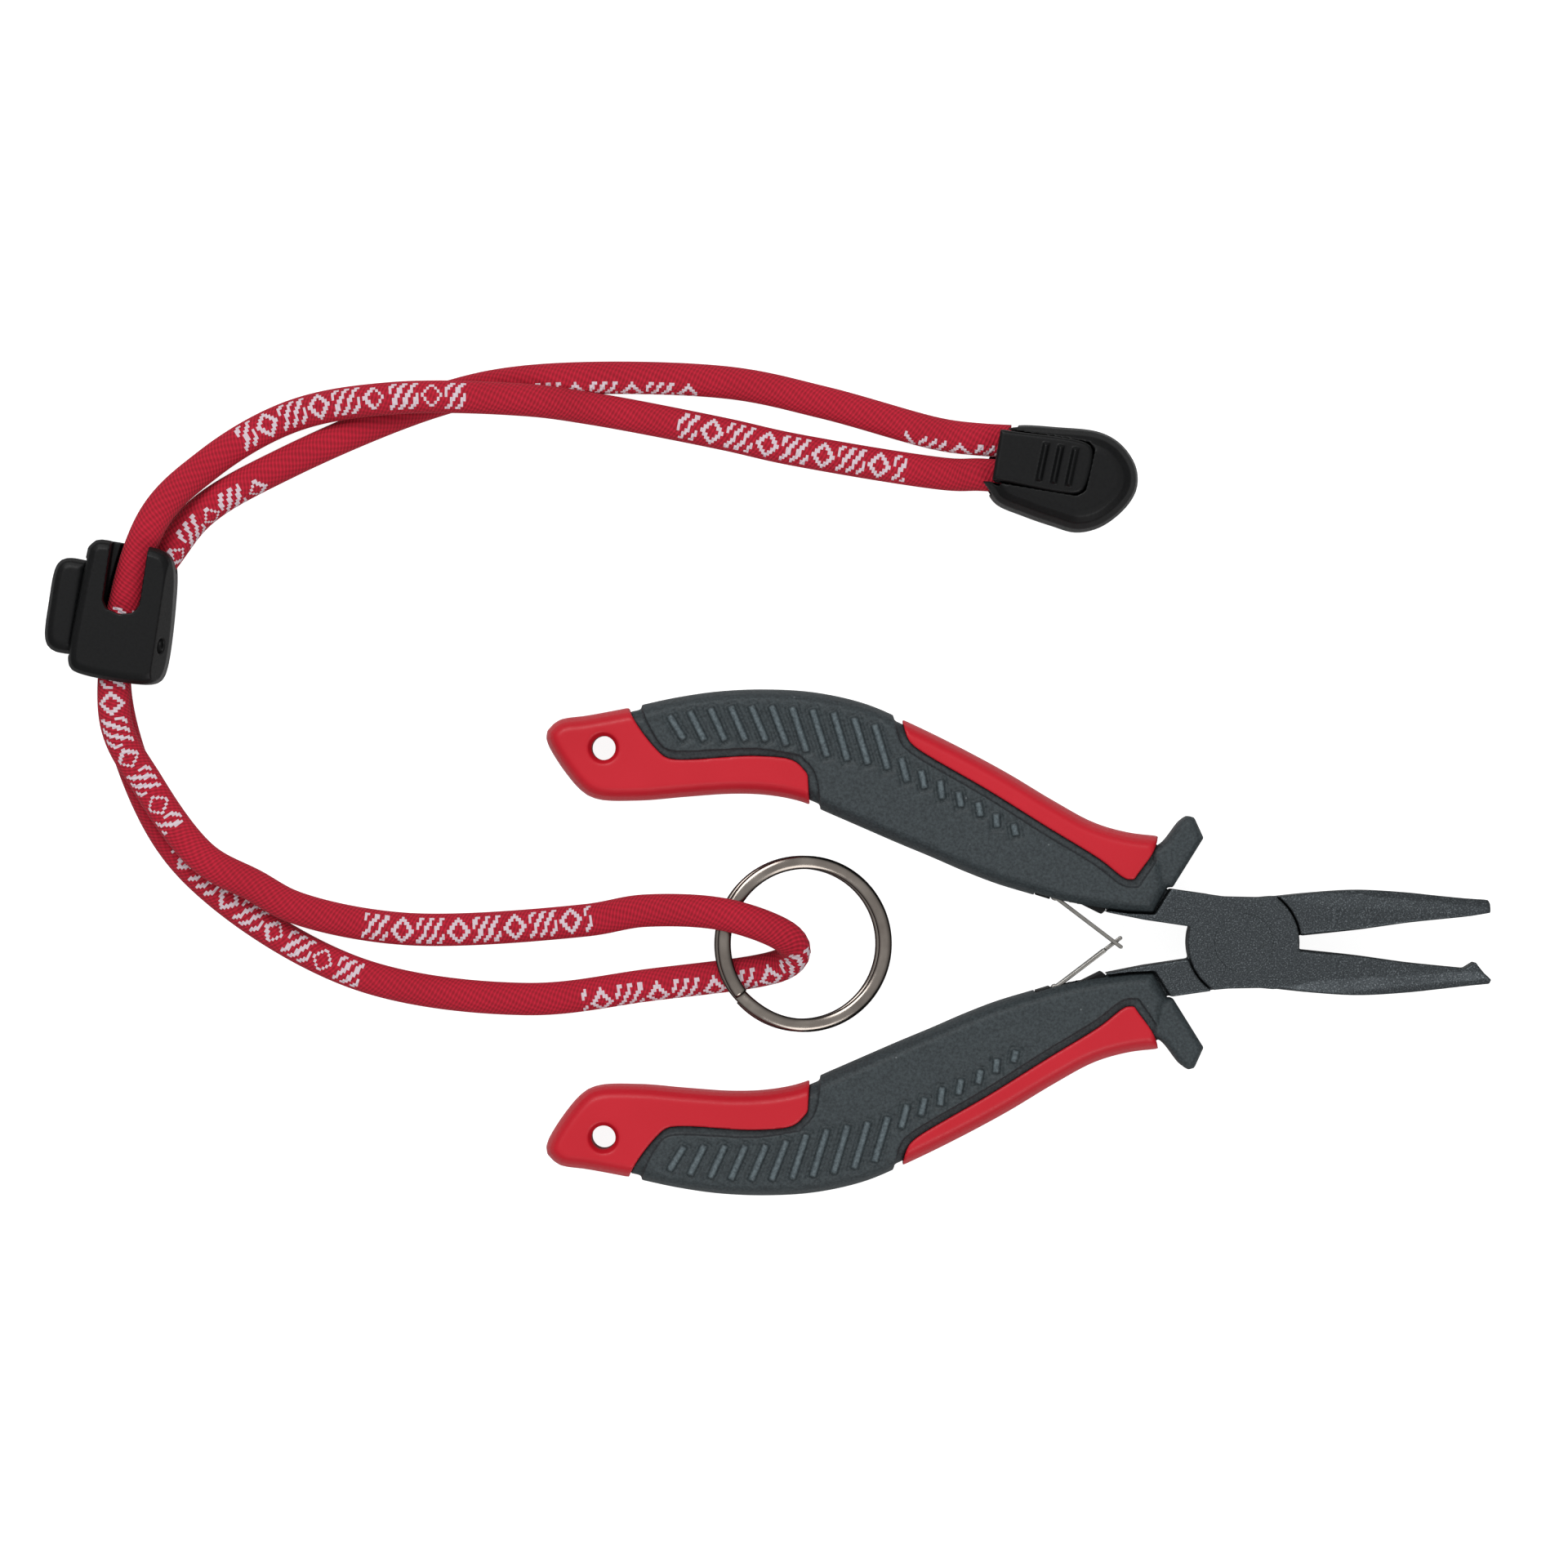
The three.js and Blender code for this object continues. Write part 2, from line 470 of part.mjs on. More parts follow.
addPiece('cord_end_body', plate(CLAMP_BODY, CLAMP_Z, { edge: 1.2, rise: 1.6, rounds: 2 })
  .subtract(plate(clampPlan(CLAMP_MOUTH), CLAMP_MOUTH_Z))
  .subtract(plate(clampPlan(LID_BAY), [LID_Z[0] - 0.4, 13]))
  .subtract(pin(9.4, PIN_R + 0.1)), 0x202123, 0.5);
let lid = plate(clampPlan(LID), LID_Z, { edge: 0.4 }).add(pin(8.6, PIN_R));
for (const a of LID_RIDGES) {
  lid = lid.add(plate(clampPlan([[a, -2.6], [a + 1.1, -2.6], [a + 1.1, 2.6], [a, 2.6]]), [LID_Z[1] - 1, 12]));
}
addPiece('cord_end_lid', lid, 0x1e1f21, 0.5);

export default group;
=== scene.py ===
import math

import bmesh
import bpy
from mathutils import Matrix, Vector


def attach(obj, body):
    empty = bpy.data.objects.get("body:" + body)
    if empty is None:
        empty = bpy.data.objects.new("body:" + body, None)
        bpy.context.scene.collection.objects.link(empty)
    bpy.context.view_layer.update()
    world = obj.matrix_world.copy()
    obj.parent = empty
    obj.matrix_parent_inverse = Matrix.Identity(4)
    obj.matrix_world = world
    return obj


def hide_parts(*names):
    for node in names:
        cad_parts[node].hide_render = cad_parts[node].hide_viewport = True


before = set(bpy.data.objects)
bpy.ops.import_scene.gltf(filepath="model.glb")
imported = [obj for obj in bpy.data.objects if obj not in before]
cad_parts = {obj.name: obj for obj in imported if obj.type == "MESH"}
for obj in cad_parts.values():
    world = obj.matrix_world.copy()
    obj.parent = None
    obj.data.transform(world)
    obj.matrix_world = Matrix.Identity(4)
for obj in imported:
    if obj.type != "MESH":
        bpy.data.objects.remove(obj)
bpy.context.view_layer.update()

# ---- Camera ----
# A long lens looks straight down on the tool, which lies flat on a white table with its lanyard.
camera = bpy.data.objects.new("camera", bpy.data.cameras.new("camera"))
bpy.context.scene.collection.objects.link(camera)
CAMERA_RISE = 1.2  # metres above the middle of the tool's thickness
CAMERA_FILM = 36
SEEN_WIDTH = 0.2536  # metres across the frame at that height
camera.location = (-0.0379, 0.0256, 0.006 + CAMERA_RISE)
camera.data.sensor_width = CAMERA_FILM
camera.data.lens = CAMERA_FILM * CAMERA_RISE / SEEN_WIDTH
bpy.context.scene.camera = camera


# ---- Lanyard strap ----
# One woven polyester tube, laid flat: out of the cord end, through the cord lock, over and under
# the split ring, and back. It is dyed red, in a fine twill with a pale knitted-in pattern in runs.
MM = 0.001
PIVOT_X = 36.2  # every shape is drawn in millimetres from the pivot, then moved by this
STRAP_WIDTH = 5.3
STRAP_THICK = 3.3
STRAP_SIDES = 32
STRAP_ROUND = 13.9  # mm round the section
STRAP_ROUTE = [
    (-38.3, 75.4, 4.8), (-42.4, 75.7, 4.5), (-47.2, 75.8, 2.8), (-73.1, 80, 1.8), (-83.8, 82.4, 1.8),
    (-105.4, 86.5, 2.4), (-116.2, 87.8, 4.4), (-137.8, 88, 5.4), (-154, 85.2, 2.5), (-167.5, 77.4, 3.2),
    (-176.7, 67.1, 7.3), (-182.2, 36.7, 7.4), (-177, 25.5, 5.7), (-168.1, 13.7, 5.5), (-159.9, 9.2, 5.4),
    (-153.2, 5.6, 4.8), (-135.7, 2.1, 2), (-106.3, 3.5, 3.2), (-96.6, 5.1, 5.6), (-83.1, 4.4, 8.5),
    (-73.6, 0.7, 7), (-72.4, -1.5, 5), (-74.3, -3.6, 3), (-96.6, -7.1, 1.8), (-116.1, -9.3, 1.8),
    (-143.2, -5.2, 1.8), (-165.5, 7.7, 1.8), (-175.5, 19.2, 1.8), (-182.5, 41.8, 4), (-179.1, 55.9, 3.9),
    (-174.5, 62.3, 3.2), (-168.6, 69.8, 1.9), (-155.1, 77.6, 1.8), (-130.8, 87.7, 1.8), (-116.2, 90.9, 1.8),
    (-83.8, 90.8, 1.8), (-67.6, 87.5, 1.8), (-48.8, 82.3, 2.8), (-42.4, 81.4, 4.5), (-37.4, 81.1, 4.8),
]
# how far the woven pattern has rolled to the right of the strap's middle, at lengths along it (mm)
STRAP_ROLL = [(0, -0.5), (108, 0), (254, 0), (327, -1.9), (400, 0), (473, 1.2), (546, 2.1), (640, 2.4)]


def srgb(code):
    """A hex colour such as C82C39, as linear numbers with alpha."""
    values = [int(code[i:i + 2], 16) / 255 for i in (0, 2, 4)]
    return [v / 12.92 if v <= 0.04045 else ((v + 0.055) / 1.055) ** 2.4 for v in values] + [1]


def node(tree, kind, settings=None, **links):
    """Adds a shader node, sets its settings, and fills its sockets; _0 is the first socket."""
    made = tree.nodes.new("ShaderNode" + kind)
    for key, value in (settings or {}).items():
        setattr(made, key, value)
    for key, value in links.items():
        socket = made.inputs[int(key[1:]) if key[1:].isdigit() else key.replace("_", " ")]
        if isinstance(value, bpy.types.Node):
            value = value.outputs[0]
        if isinstance(value, bpy.types.NodeSocket):
            tree.links.new(value, socket)
        else:
            socket.default_value = value
    return made


def new_material(name, **surface):
    """A material with its Principled shader's plain settings."""
    material = bpy.data.materials.new(name)
    material.use_nodes = True
    shader = material.node_tree.nodes["Principled BSDF"]
    for key, value in surface.items():
        shader.inputs[key.replace("_", " ")].default_value = value
    return material, material.node_tree, shader


def smooth_line(points, step):
    """Points along a centripetal Catmull-Rom curve through the given ones, about a step apart."""
    pts = [Vector(p) for p in points]
    pts = [pts[0] * 2 - pts[1]] + pts + [pts[-1] * 2 - pts[-2]]
    dense = []
    for i in range(1, len(pts) - 2):
        p0, p1, p2, p3 = pts[i - 1:i + 3]
        t1 = (p1 - p0).length ** 0.5
        t2 = t1 + (p2 - p1).length ** 0.5
        t3 = t2 + (p3 - p2).length ** 0.5
        pieces = max(4, math.ceil((p2 - p1).length / step * 8))
        for k in range(pieces):
            t = t1 + (t2 - t1) * k / pieces
            a1 = p0 * ((t1 - t) / t1) + p1 * (t / t1)
            a2 = p1 * ((t2 - t) / (t2 - t1)) + p2 * ((t - t1) / (t2 - t1))
            a3 = p2 * ((t3 - t) / (t3 - t2)) + p3 * ((t - t2) / (t3 - t2))
            b1 = a1 * ((t2 - t) / t2) + a2 * (t / t2)
            b2 = a2 * ((t3 - t) / (t3 - t1)) + a3 * ((t - t1) / (t3 - t1))
            dense.append(b1 * ((t2 - t) / (t2 - t1)) + b2 * ((t - t1) / (t2 - t1)))
    dense.append(pts[-2])
    line, run = [dense[0]], 0
    for a, b in zip(dense, dense[1:]):
        run += (b - a).length
        if run >= step:
            line.append(b)
            run = 0
    if (line[-1] - dense[-1]).length < 0.4 * step and len(line) > 1:
        line.pop()
    return line + [dense[-1]]


def tube(name, mesh, rings):
    """Closes rings of points into one smooth tube with flat ends, and puts it in the scene."""
    sides = len(rings[0])
    for a, b in zip(rings, rings[1:]):
        for k in range(sides):
            mesh.faces.new((a[k], a[(k + 1) % sides], b[(k + 1) % sides], b[k])).smooth = True
    mesh.faces.new(rings[0][::-1])
    mesh.faces.new(rings[-1])
    bmesh.ops.recalc_face_normals(mesh, faces=mesh.faces)
    data = bpy.data.meshes.new(name)
    mesh.to_mesh(data)
    piece = bpy.data.objects.new(name, data)
    bpy.context.scene.collection.objects.link(piece)
    return piece


def level_tube(name, line, wide, thick, sides):
    """A flattened tube along a line, its section kept level."""
    mesh = bmesh.new()
    rings = []
    for i, here in enumerate(line):
        tangent = (line[min(i + 1, len(line) - 1)] - line[max(i - 1, 0)]).normalized()
        across = Vector((0, 0, 1)).cross(tangent).normalized()
        up = tangent.cross(across)
        ring = []
        for k in range(sides):
            a = 2 * math.pi * k / sides
            c, s = math.cos(a), math.sin(a)
            ring.append(mesh.verts.new(here + across * math.copysign(abs(c) ** 0.82, c) * wide / 2
                                       + up * math.copysign(abs(s) ** 0.9, s) * thick / 2))
        rings.append(ring)
    return tube(name, mesh, rings)


def settle(piece):
    """Moves a shape from millimetres about the pivot to metres in the frame, with its place in its mesh."""
    for vertex in piece.data.vertices:
        vertex.co = (vertex.co + Vector((PIVOT_X, 0, 0))) * MM


def woven_polyester():
    """Dyed polyester yarn in a fine twill: slanted raised stitches, soft sheen, pale knitted pattern."""
    material, tree, shader = new_material("woven_red_polyester", Roughness=0.8, Sheen_Weight=0.05,
                                          Sheen_Roughness=0.5, Specular_IOR_Level=0.3)
    uv = node(tree, "UVMap", {"uv_map": "weave"})  # u in mm along the strap, v in mm round it
    place = node(tree, "SeparateXYZ", Vector=uv)
    u, v = place.outputs[0], place.outputs[1]

    def maths(operation, a, b=0.0, c=0.0):
        return node(tree, "Math", {"operation": operation}, _0=a, _1=b, _2=c)

    # yarns cross the strap on a slant, 0.62 mm apart, and each is stitched every 0.8 mm
    yarn = maths("SINE", maths("MULTIPLY", maths("MULTIPLY_ADD", v, 0.55, u), 2 * math.pi / 0.62))
    stitch = maths("SINE", maths("MULTIPLY", maths("MULTIPLY_ADD", u, -0.35, v), 2 * math.pi / 0.8))
    weave = maths("MULTIPLY_ADD", yarn, 0.65, maths("MULTIPLY", stitch, 0.35))
    tone = node(tree, "MapRange", Value=weave, From_Min=-1.0, From_Max=1.0, To_Min=0.0, To_Max=1.0)
    fade = node(tree, "TexNoise", Vector=uv, Scale=0.09, Detail=3.0)  # dye varies over about 10 mm
    dye = node(tree, "Mix", {"data_type": "RGBA"}, _0=fade.outputs[0],
               _6=srgb("B3122C"), _7=srgb("CE1A38"))
    ground = node(tree, "Mix", {"data_type": "RGBA", "blend_type": "MULTIPLY"}, _0=1.0)
    tree.links.new(dye.outputs[2], ground.inputs[6])
    shade = node(tree, "Mix", {"data_type": "RGBA"}, _0=tone, _6=srgb("B9B0B0"), _7=srgb("FFFFFF"))
    tree.links.new(shade.outputs[2], ground.inputs[7])
    # The pattern is knitted, so its edges step by a stitch of 0.42 mm. A repeat is 9.2 mm long: a
    # diamond outline, then two slanted bars. Each run is 38 mm long and comes every 73 mm.
    uq = maths("SNAP", u, 0.42)
    vq = maths("SNAP", v, 0.42)
    run = maths("LESS_THAN", maths("MODULO", maths("ADD", uq, 57.0), 73.0), 38.0)
    cell = maths("MODULO", uq, 9.2)
    half = maths("ABSOLUTE", vq)
    from_middle = maths("ABSOLUTE", maths("SUBTRACT", cell, 2.3))
    diamond = maths("ABSOLUTE", maths("SUBTRACT", maths("ADD", from_middle, half), 1.45))
    slant = maths("ADD", cell, maths("MULTIPLY", vq, 0.7))
    bars = maths("ABSOLUTE", maths("SUBTRACT", maths("PINGPONG", maths("SUBTRACT", slant, 5.2), 1.7), 0.85))
    is_bar = maths("GREATER_THAN", cell, 4.6)
    lines = node(tree, "Mix", {"data_type": "FLOAT"}, _0=is_bar, _2=diamond, _3=bars)
    drawn = maths("LESS_THAN", lines, 0.38)
    inside = maths("LESS_THAN", half, 1.75)
    pale = maths("MULTIPLY", maths("MULTIPLY", drawn, inside), run)
    woven = node(tree, "Mix", {"data_type": "RGBA"}, _0=pale)
    tree.links.new(ground.outputs[2], woven.inputs[6])
    woven.inputs[7].default_value = srgb("D3C2CA")
    tree.links.new(woven.outputs[2], shader.inputs["Base Color"])
    fuzz = node(tree, "TexNoise", Vector=uv, Scale=4.0, Detail=2.0)  # loose fibres, 0.25 mm
    height = maths("MULTIPLY_ADD", fuzz, 0.5, weave)
    bump = node(tree, "Bump", Strength=0.55, Distance=0.00016, Height=height)
    tree.links.new(bump.outputs[0], shader.inputs["Normal"])
    return material


strap_line = smooth_line(STRAP_ROUTE, 0.9)
strap = level_tube("strap", strap_line, STRAP_WIDTH, STRAP_THICK, STRAP_SIDES)
weave_map = strap.data.uv_layers.new(name="weave")
strap_runs = [0]
for before, after in zip(strap_line, strap_line[1:]):
    strap_runs.append(strap_runs[-1] + (after - before).length)


def strap_roll(run):
    """How far the pattern has rolled at a length along the strap."""
    for (a, low), (b, high) in zip(STRAP_ROLL, STRAP_ROLL[1:]):
        if run <= b:
            return low + (high - low) * (run - a) / (b - a)
    return STRAP_ROLL[-1][1]


for face in strap.data.polygons:
    sides_of_face = [strap.data.loops[loop].vertex_index % STRAP_SIDES for loop in face.loop_indices]
    wraps = max(sides_of_face) - min(sides_of_face) > STRAP_SIDES / 2
    for loop, side in zip(face.loop_indices, sides_of_face):
        at = strap_runs[strap.data.loops[loop].vertex_index // STRAP_SIDES]
        turn = (side + STRAP_SIDES if wraps and side == 0 else side) / STRAP_SIDES - 0.25
        if turn > 0.5:
            turn -= 1
        weave_map.data[loop].uv = (at, turn * STRAP_ROUND - strap_roll(at))
settle(strap)
strap.data.materials.append(woven_polyester())
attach(strap, "lanyard")
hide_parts("lanyard_strap")


# ---- Table and light ----
# A white acrylic light table: matt, and lit from below so that shadows stay faint. Large soft
# boxes hang above, towards +Y and +X, and the room is pale overhead and dim at the horizon.
def light_table():
    material, tree, shader = new_material("opal_acrylic", Roughness=0.9, Base_Color=srgb("B4B4B4"),
                                          Emission_Color=srgb("FFFFFF"))
    # the glow goes straight up to the lens, and little of it reaches the sides of the tool
    ray = node(tree, "LightPath")
    glow = node(tree, "MapRange", Value=ray.outputs["Is Camera Ray"], To_Min=0.12, To_Max=0.92)
    tree.links.new(glow.outputs[0], shader.inputs["Emission Strength"])
    grain = node(tree, "TexNoise", Scale=900.0, Detail=2.0,
                 Vector=node(tree, "TexCoord").outputs["Object"])  # moulded grain of about 1 mm
    bump = node(tree, "Bump", Strength=0.05, Distance=0.0001, Height=grain)
    tree.links.new(bump.outputs[0], shader.inputs["Normal"])
    bpy.ops.mesh.primitive_plane_add(size=6, location=(0, 0, -0.0002))
    floor = bpy.context.object
    floor.name = "floor"
    floor.data.materials.append(material)


def soft_box(name, place, size, power):
    light = bpy.data.lights.new(name, "AREA")
    light.shape = "SQUARE"
    light.size = size
    light.energy = power
    lamp = bpy.data.objects.new(name, light)
    lamp.location = place
    lamp.rotation_euler = (-Vector(place)).to_track_quat("-Z", "Y").to_euler()
    bpy.context.scene.collection.objects.link(lamp)


def studio_room():
    world = bpy.data.worlds.new("studio")
    bpy.context.scene.world = world
    world.use_nodes = True
    tree = world.node_tree
    height = node(tree, "SeparateXYZ", Vector=node(tree, "TexCoord").outputs["Generated"])
    glow = node(tree, "MapRange", Value=height.outputs[2], From_Min=0.0, From_Max=0.9,
                To_Min=0.12, To_Max=0.66)
    tree.links.new(glow.outputs[0], tree.nodes["Background"].inputs[1])
    tree.nodes["Background"].inputs[0].default_value = srgb("FFFFFF")


light_table()
soft_box("key_box", (-0.3, 0.75, 0.85), 0.6, 7.5)
soft_box("fill_box", (0.35, -0.8, 0.85), 0.6, 4.5)
studio_room()
bpy.context.scene.view_settings.view_transform = "Standard"


# ---- Levers ----
# Two drop-forged steel levers, each one piece of tang, arm, lap disc and jaw. The laps are milled
# to half thickness and the whole is blackened and coated, which leaves a fine dark speckle.
STEEL_LOW, STEEL_HIGH, MIDDLE = 1.5, 10.5, 6
LAP_GAP = 0.15
DISC_R = 9
DISC_GAP = 0.3
RIVET_R = 3.5
RIVET_HEAD_R = 4.7
RIVET_HEAD = 1
TOOL_TOP = 12
ARM = [
    (0, 7.1), (-2.6, 7.4), (-11.7, 8.7), (-14.3, 4.55), (-18.5, 4.75), (-22.2, 5.2), (-22, 4.9), (-16, 3.7),
    (-8.6, 2.6), (0, 0),
]
TANG = [
    (-15, 5), (-19.5, 9.1), (-24, 11.9), (-33, 15.3), (-45, 19.8), (-60, 26.2), (-65.5, 28.6),
    (-64, 32.2), (-52, 27.6), (-40, 22.6), (-30, 18.2), (-22, 14.8), (-16.5, 12.3), (-12.5, 8.8),
    (-10.5, 7.6), (-10.5, 4),
]
TANG_LOW, TANG_HIGH = 3.6, 8.4
# the laps are trimmed flat where the disc would stand above and below the arms
DISC_CLIP = [
    (-12, 8.3), (-2.6, 7.4), (2.6, 7.3), (12, 8.1), (12, -8.1), (2.6, -7.3), (-2.6, -7.4), (-12, -8.3),
]
PLAIN_JAW = [
    (0, 0), (9.1, 1.1), (18.4, 2.1), (26.3, 3.2), (31.6, 3.75), (36.5, 4.25), (39.95, 4.8), (40.1, 5.8),
    (39.6, 6.9), (36.9, 7.05), (31.6, 7.55), (26.3, 8.1), (18.4, 8.5), (10.4, 8), (2.6, 7.2), (0, 7.1),
]
HOOK_JAW = [
    (0, 0), (9.1, -1.1), (18.4, -2.1), (26.3, -3.2), (31.6, -3.75), (35.8, -4.15), (36.7, -3.2),
    (37.5, -3.1), (38.4, -4.4), (40.1, -6.0), (39.8, -6.7), (36.9, -6.95), (31.6, -7.55), (26.3, -8.1),
    (18.4, -8.5), (10.4, -8), (2.6, -7.2), (0, -7.1),
]
# each ground facet: its inner edge at the lap and at the tip, and a point on its outer edge, with
# heights from the middle of the thickness
JAW_FACETS = [
    ((12, 6.0, 4.5), (40, 4.6, 3.1), (24, 8.3, 3.0)),
    ((12, 8.0, 4.0), (40, 5.9, 2.6), (24, 8.5, 2.4)),
]


def outline_of(points, step=None, sharp=40):
    """A closed outline through the points; a step makes it curved, except at corners past an angle."""
    pts = [Vector((x, y, 0)) for x, y in points]
    if sum(a.x * b.y - b.x * a.y for a, b in zip(pts, pts[1:] + pts[:1])) < 0:
        pts.reverse()
    if not step:
        return [p.to_2d() for p in pts]
    count = len(pts)
    corners = [i for i in range(count)
               if (pts[i] - pts[i - 1]).angle(pts[(i + 1) % count] - pts[i]) > math.radians(sharp)] or [0]
    outline = []
    for k, first in enumerate(corners):
        last = corners[(k + 1) % len(corners)]
        span = (last - first - 1) % count + 1
        outline += smooth_line([pts[(first + i) % count] for i in range(span + 1)], step)[:-1]
    return [p.to_2d() for p in outline]


def drawn_in(outline, distance):
    """The outline moved inwards; a point that would cross a corner joins its nearest neighbour."""
    count = len(outline)
    moved = []
    for i, here in enumerate(outline):
        before = (here - outline[i - 1]).normalized()
        after = (outline[(i + 1) % count] - here).normalized()
        inward = Vector((-before.y - after.y, before.x + after.x)).normalized()
        lean = max(inward.dot(Vector((-before.y, before.x))), 0.4)
        moved.append(here + inward * distance / lean)
    edges = [(a, b - a) for a, b in zip(outline, outline[1:] + outline[:1])]

    def stands_clear(point):
        for start, along in edges:
            t = min(max((point - start).dot(along) / along.length_squared, 0), 1)
            if (point - start - along * t).length < 0.96 * abs(distance):
                return False
        return True

    clear = [i for i, point in enumerate(moved) if stands_clear(point)] or list(range(count))
    return [moved[min(clear, key=lambda j: min((i - j) % count, (j - i) % count))] for i in range(count)]


def only(piece):
    """Selects one object and makes it active."""
    bpy.ops.object.select_all(action="DESELECT")
    piece.select_set(True)
    bpy.context.view_layer.objects.active = piece


def block(name, outline, levels):
    """A solid raised from an outline, which is drawn in by its own amount at each height."""
    bpy.ops.object.select_all(action="DESELECT")
    bpy.ops.mesh.primitive_circle_add(vertices=len(outline), fill_type="NGON")
    piece = bpy.context.object
    piece.name = name
    mesh = piece.data
    rank = mesh.attributes.new("rank", "INT", "POINT")
    for vertex in mesh.vertices:
        rank.data[vertex.index].value = vertex.index
    rings = {inset: drawn_in(outline, inset) if inset else outline for _, inset in levels}
    for i, (height, inset) in enumerate(levels):
        if i:
            bpy.ops.object.mode_set(mode="EDIT")
            bpy.ops.mesh.extrude_region_move(TRANSFORM_OT_translate={"value": (0, 0, 1)})
            bpy.ops.object.mode_set(mode="OBJECT")
        ranks = mesh.attributes["rank"].data
        for vertex in mesh.vertices:
            if vertex.select:
                vertex.co = (*rings[inset][ranks[vertex.index].value], height)
    mesh.attributes.remove(mesh.attributes["rank"])
    bpy.ops.object.mode_set(mode="EDIT")
    bpy.ops.mesh.select_all(action="SELECT")
    bpy.ops.mesh.remove_doubles(threshold=0.004)
    bpy.ops.mesh.normals_make_consistent(inside=False)
    bpy.ops.object.mode_set(mode="OBJECT")
    return piece


def prism(points, low, high, grow=0, step=None):
    """A straight-sided cutter or plate; grow leaves a gap round what it is drawn from."""
    outline = outline_of(points, step)
    if grow:
        outline = drawn_in(outline, -grow)
    return block("prism", outline, [(low - grow, 0), (high + grow, 0)])


def post(x, y, radius, low, high, top_radius=None, sides=64):
    """An upright round bar or cone."""
    bpy.ops.object.select_all(action="DESELECT")
    bpy.ops.mesh.primitive_cone_add(vertices=sides, radius1=radius, location=(x, y, (low + high) / 2),
                                    radius2=radius if top_radius is None else top_radius, depth=high - low)
    bpy.ops.object.transform_apply(location=True, rotation=True, scale=True)
    return bpy.context.object


def merge(piece, tool, operation):
    """Adds, cuts or keeps what is common with a tool, which is then gone."""
    only(piece)
    change = piece.modifiers.new("change", "BOOLEAN")
    change.operation = operation
    change.solver = "EXACT"
    change.object = tool
    bpy.ops.object.modifier_apply(modifier=change.name)
    bpy.data.objects.remove(tool)


def cut(piece, *tools):
    for tool in tools:
        merge(piece, tool, "DIFFERENCE")


def add(piece, *tools):
    for tool in tools:
        merge(piece, tool, "UNION")


def joined(pieces):
    """One object from several that don't touch."""
    only(pieces[0])
    for piece in pieces:
        piece.select_set(True)
    bpy.ops.object.join()
    return pieces[0]


def shave(piece, point, normal):
    """Planes off what lies beyond a plane and closes the cut."""
    normal = Vector(normal).normalized()
    only(piece)
    bpy.ops.object.mode_set(mode="EDIT")
    bpy.ops.mesh.select_all(action="SELECT")
    bpy.ops.mesh.bisect(plane_co=point, plane_no=normal, use_fill=True, clear_outer=True)
    bpy.ops.object.mode_set(mode="OBJECT")


def soften(piece, grain, rounds, most=150000):
    """Runs every edge over to a small radius, as tumbling or a mould does, on an even fine mesh."""
    only(piece)
    remesh = piece.modifiers.new("remesh", "REMESH")
    remesh.mode = "VOXEL"
    remesh.voxel_size = grain
    bpy.ops.object.modifier_apply(modifier=remesh.name)
    smooth = piece.modifiers.new("smooth", "SMOOTH")
    smooth.factor = 0.5
    smooth.iterations = rounds
    bpy.ops.object.modifier_apply(modifier=smooth.name)
    triangles = sum(len(face.vertices) - 2 for face in piece.data.polygons)
    if triangles > most:
        thin = piece.modifiers.new("thin", "DECIMATE")
        thin.ratio = most / triangles
        bpy.ops.object.modifier_apply(modifier=thin.name)
    bpy.ops.object.shade_smooth()


def install(piece, name, body, cad_node, material):
    """Places a finished shape in the frame, on its body, in its CAD node's place."""
    settle(piece)
    piece.name = piece.data.name = name
    piece.data.materials.clear()
    piece.data.materials.append(material)
    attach(piece, body)
    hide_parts(cad_node)


def object_place(tree):
    return node(tree, "TexCoord").outputs["Object"]


def coated_steel():
    """Manganese-phosphated forged steel under a clear lubricant coat: dark, satin, speckled."""
    material, tree, shader = new_material("phosphated_forged_steel", Metallic=0.75, Roughness=0.5)
    place = object_place(tree)
    # crystals are about 0.2 mm across and catch the light as pale specks
    speck = node(tree, "TexNoise", Vector=place, Scale=4200.0, Detail=3.0, Roughness=0.7)
    grain = node(tree, "ValToRGB", Fac=speck)
    ramp = grain.color_ramp
    ramp.elements[0].position, ramp.elements[0].color = 0.36, srgb("2E3235")
    ramp.elements[1].position, ramp.elements[1].color = 0.72, srgb("7A8084")
    ramp.elements.new(0.55).color = srgb("404548")
    # handling dulls the coat unevenly, over 6 mm or so
    wear = node(tree, "TexNoise", Vector=place, Scale=160.0, Detail=2.0)
    tree.links.new(grain.outputs[0], shader.inputs["Base Color"])
    gloss = node(tree, "MapRange", Value=wear, From_Min=0.3, From_Max=0.7, To_Min=0.42, To_Max=0.56)
    tree.links.new(gloss.outputs[0], shader.inputs["Roughness"])
    bump = node(tree, "Bump", Strength=0.35, Distance=0.00005, Height=speck)
    tree.links.new(bump.outputs[0], shader.inputs["Normal"])
    return material


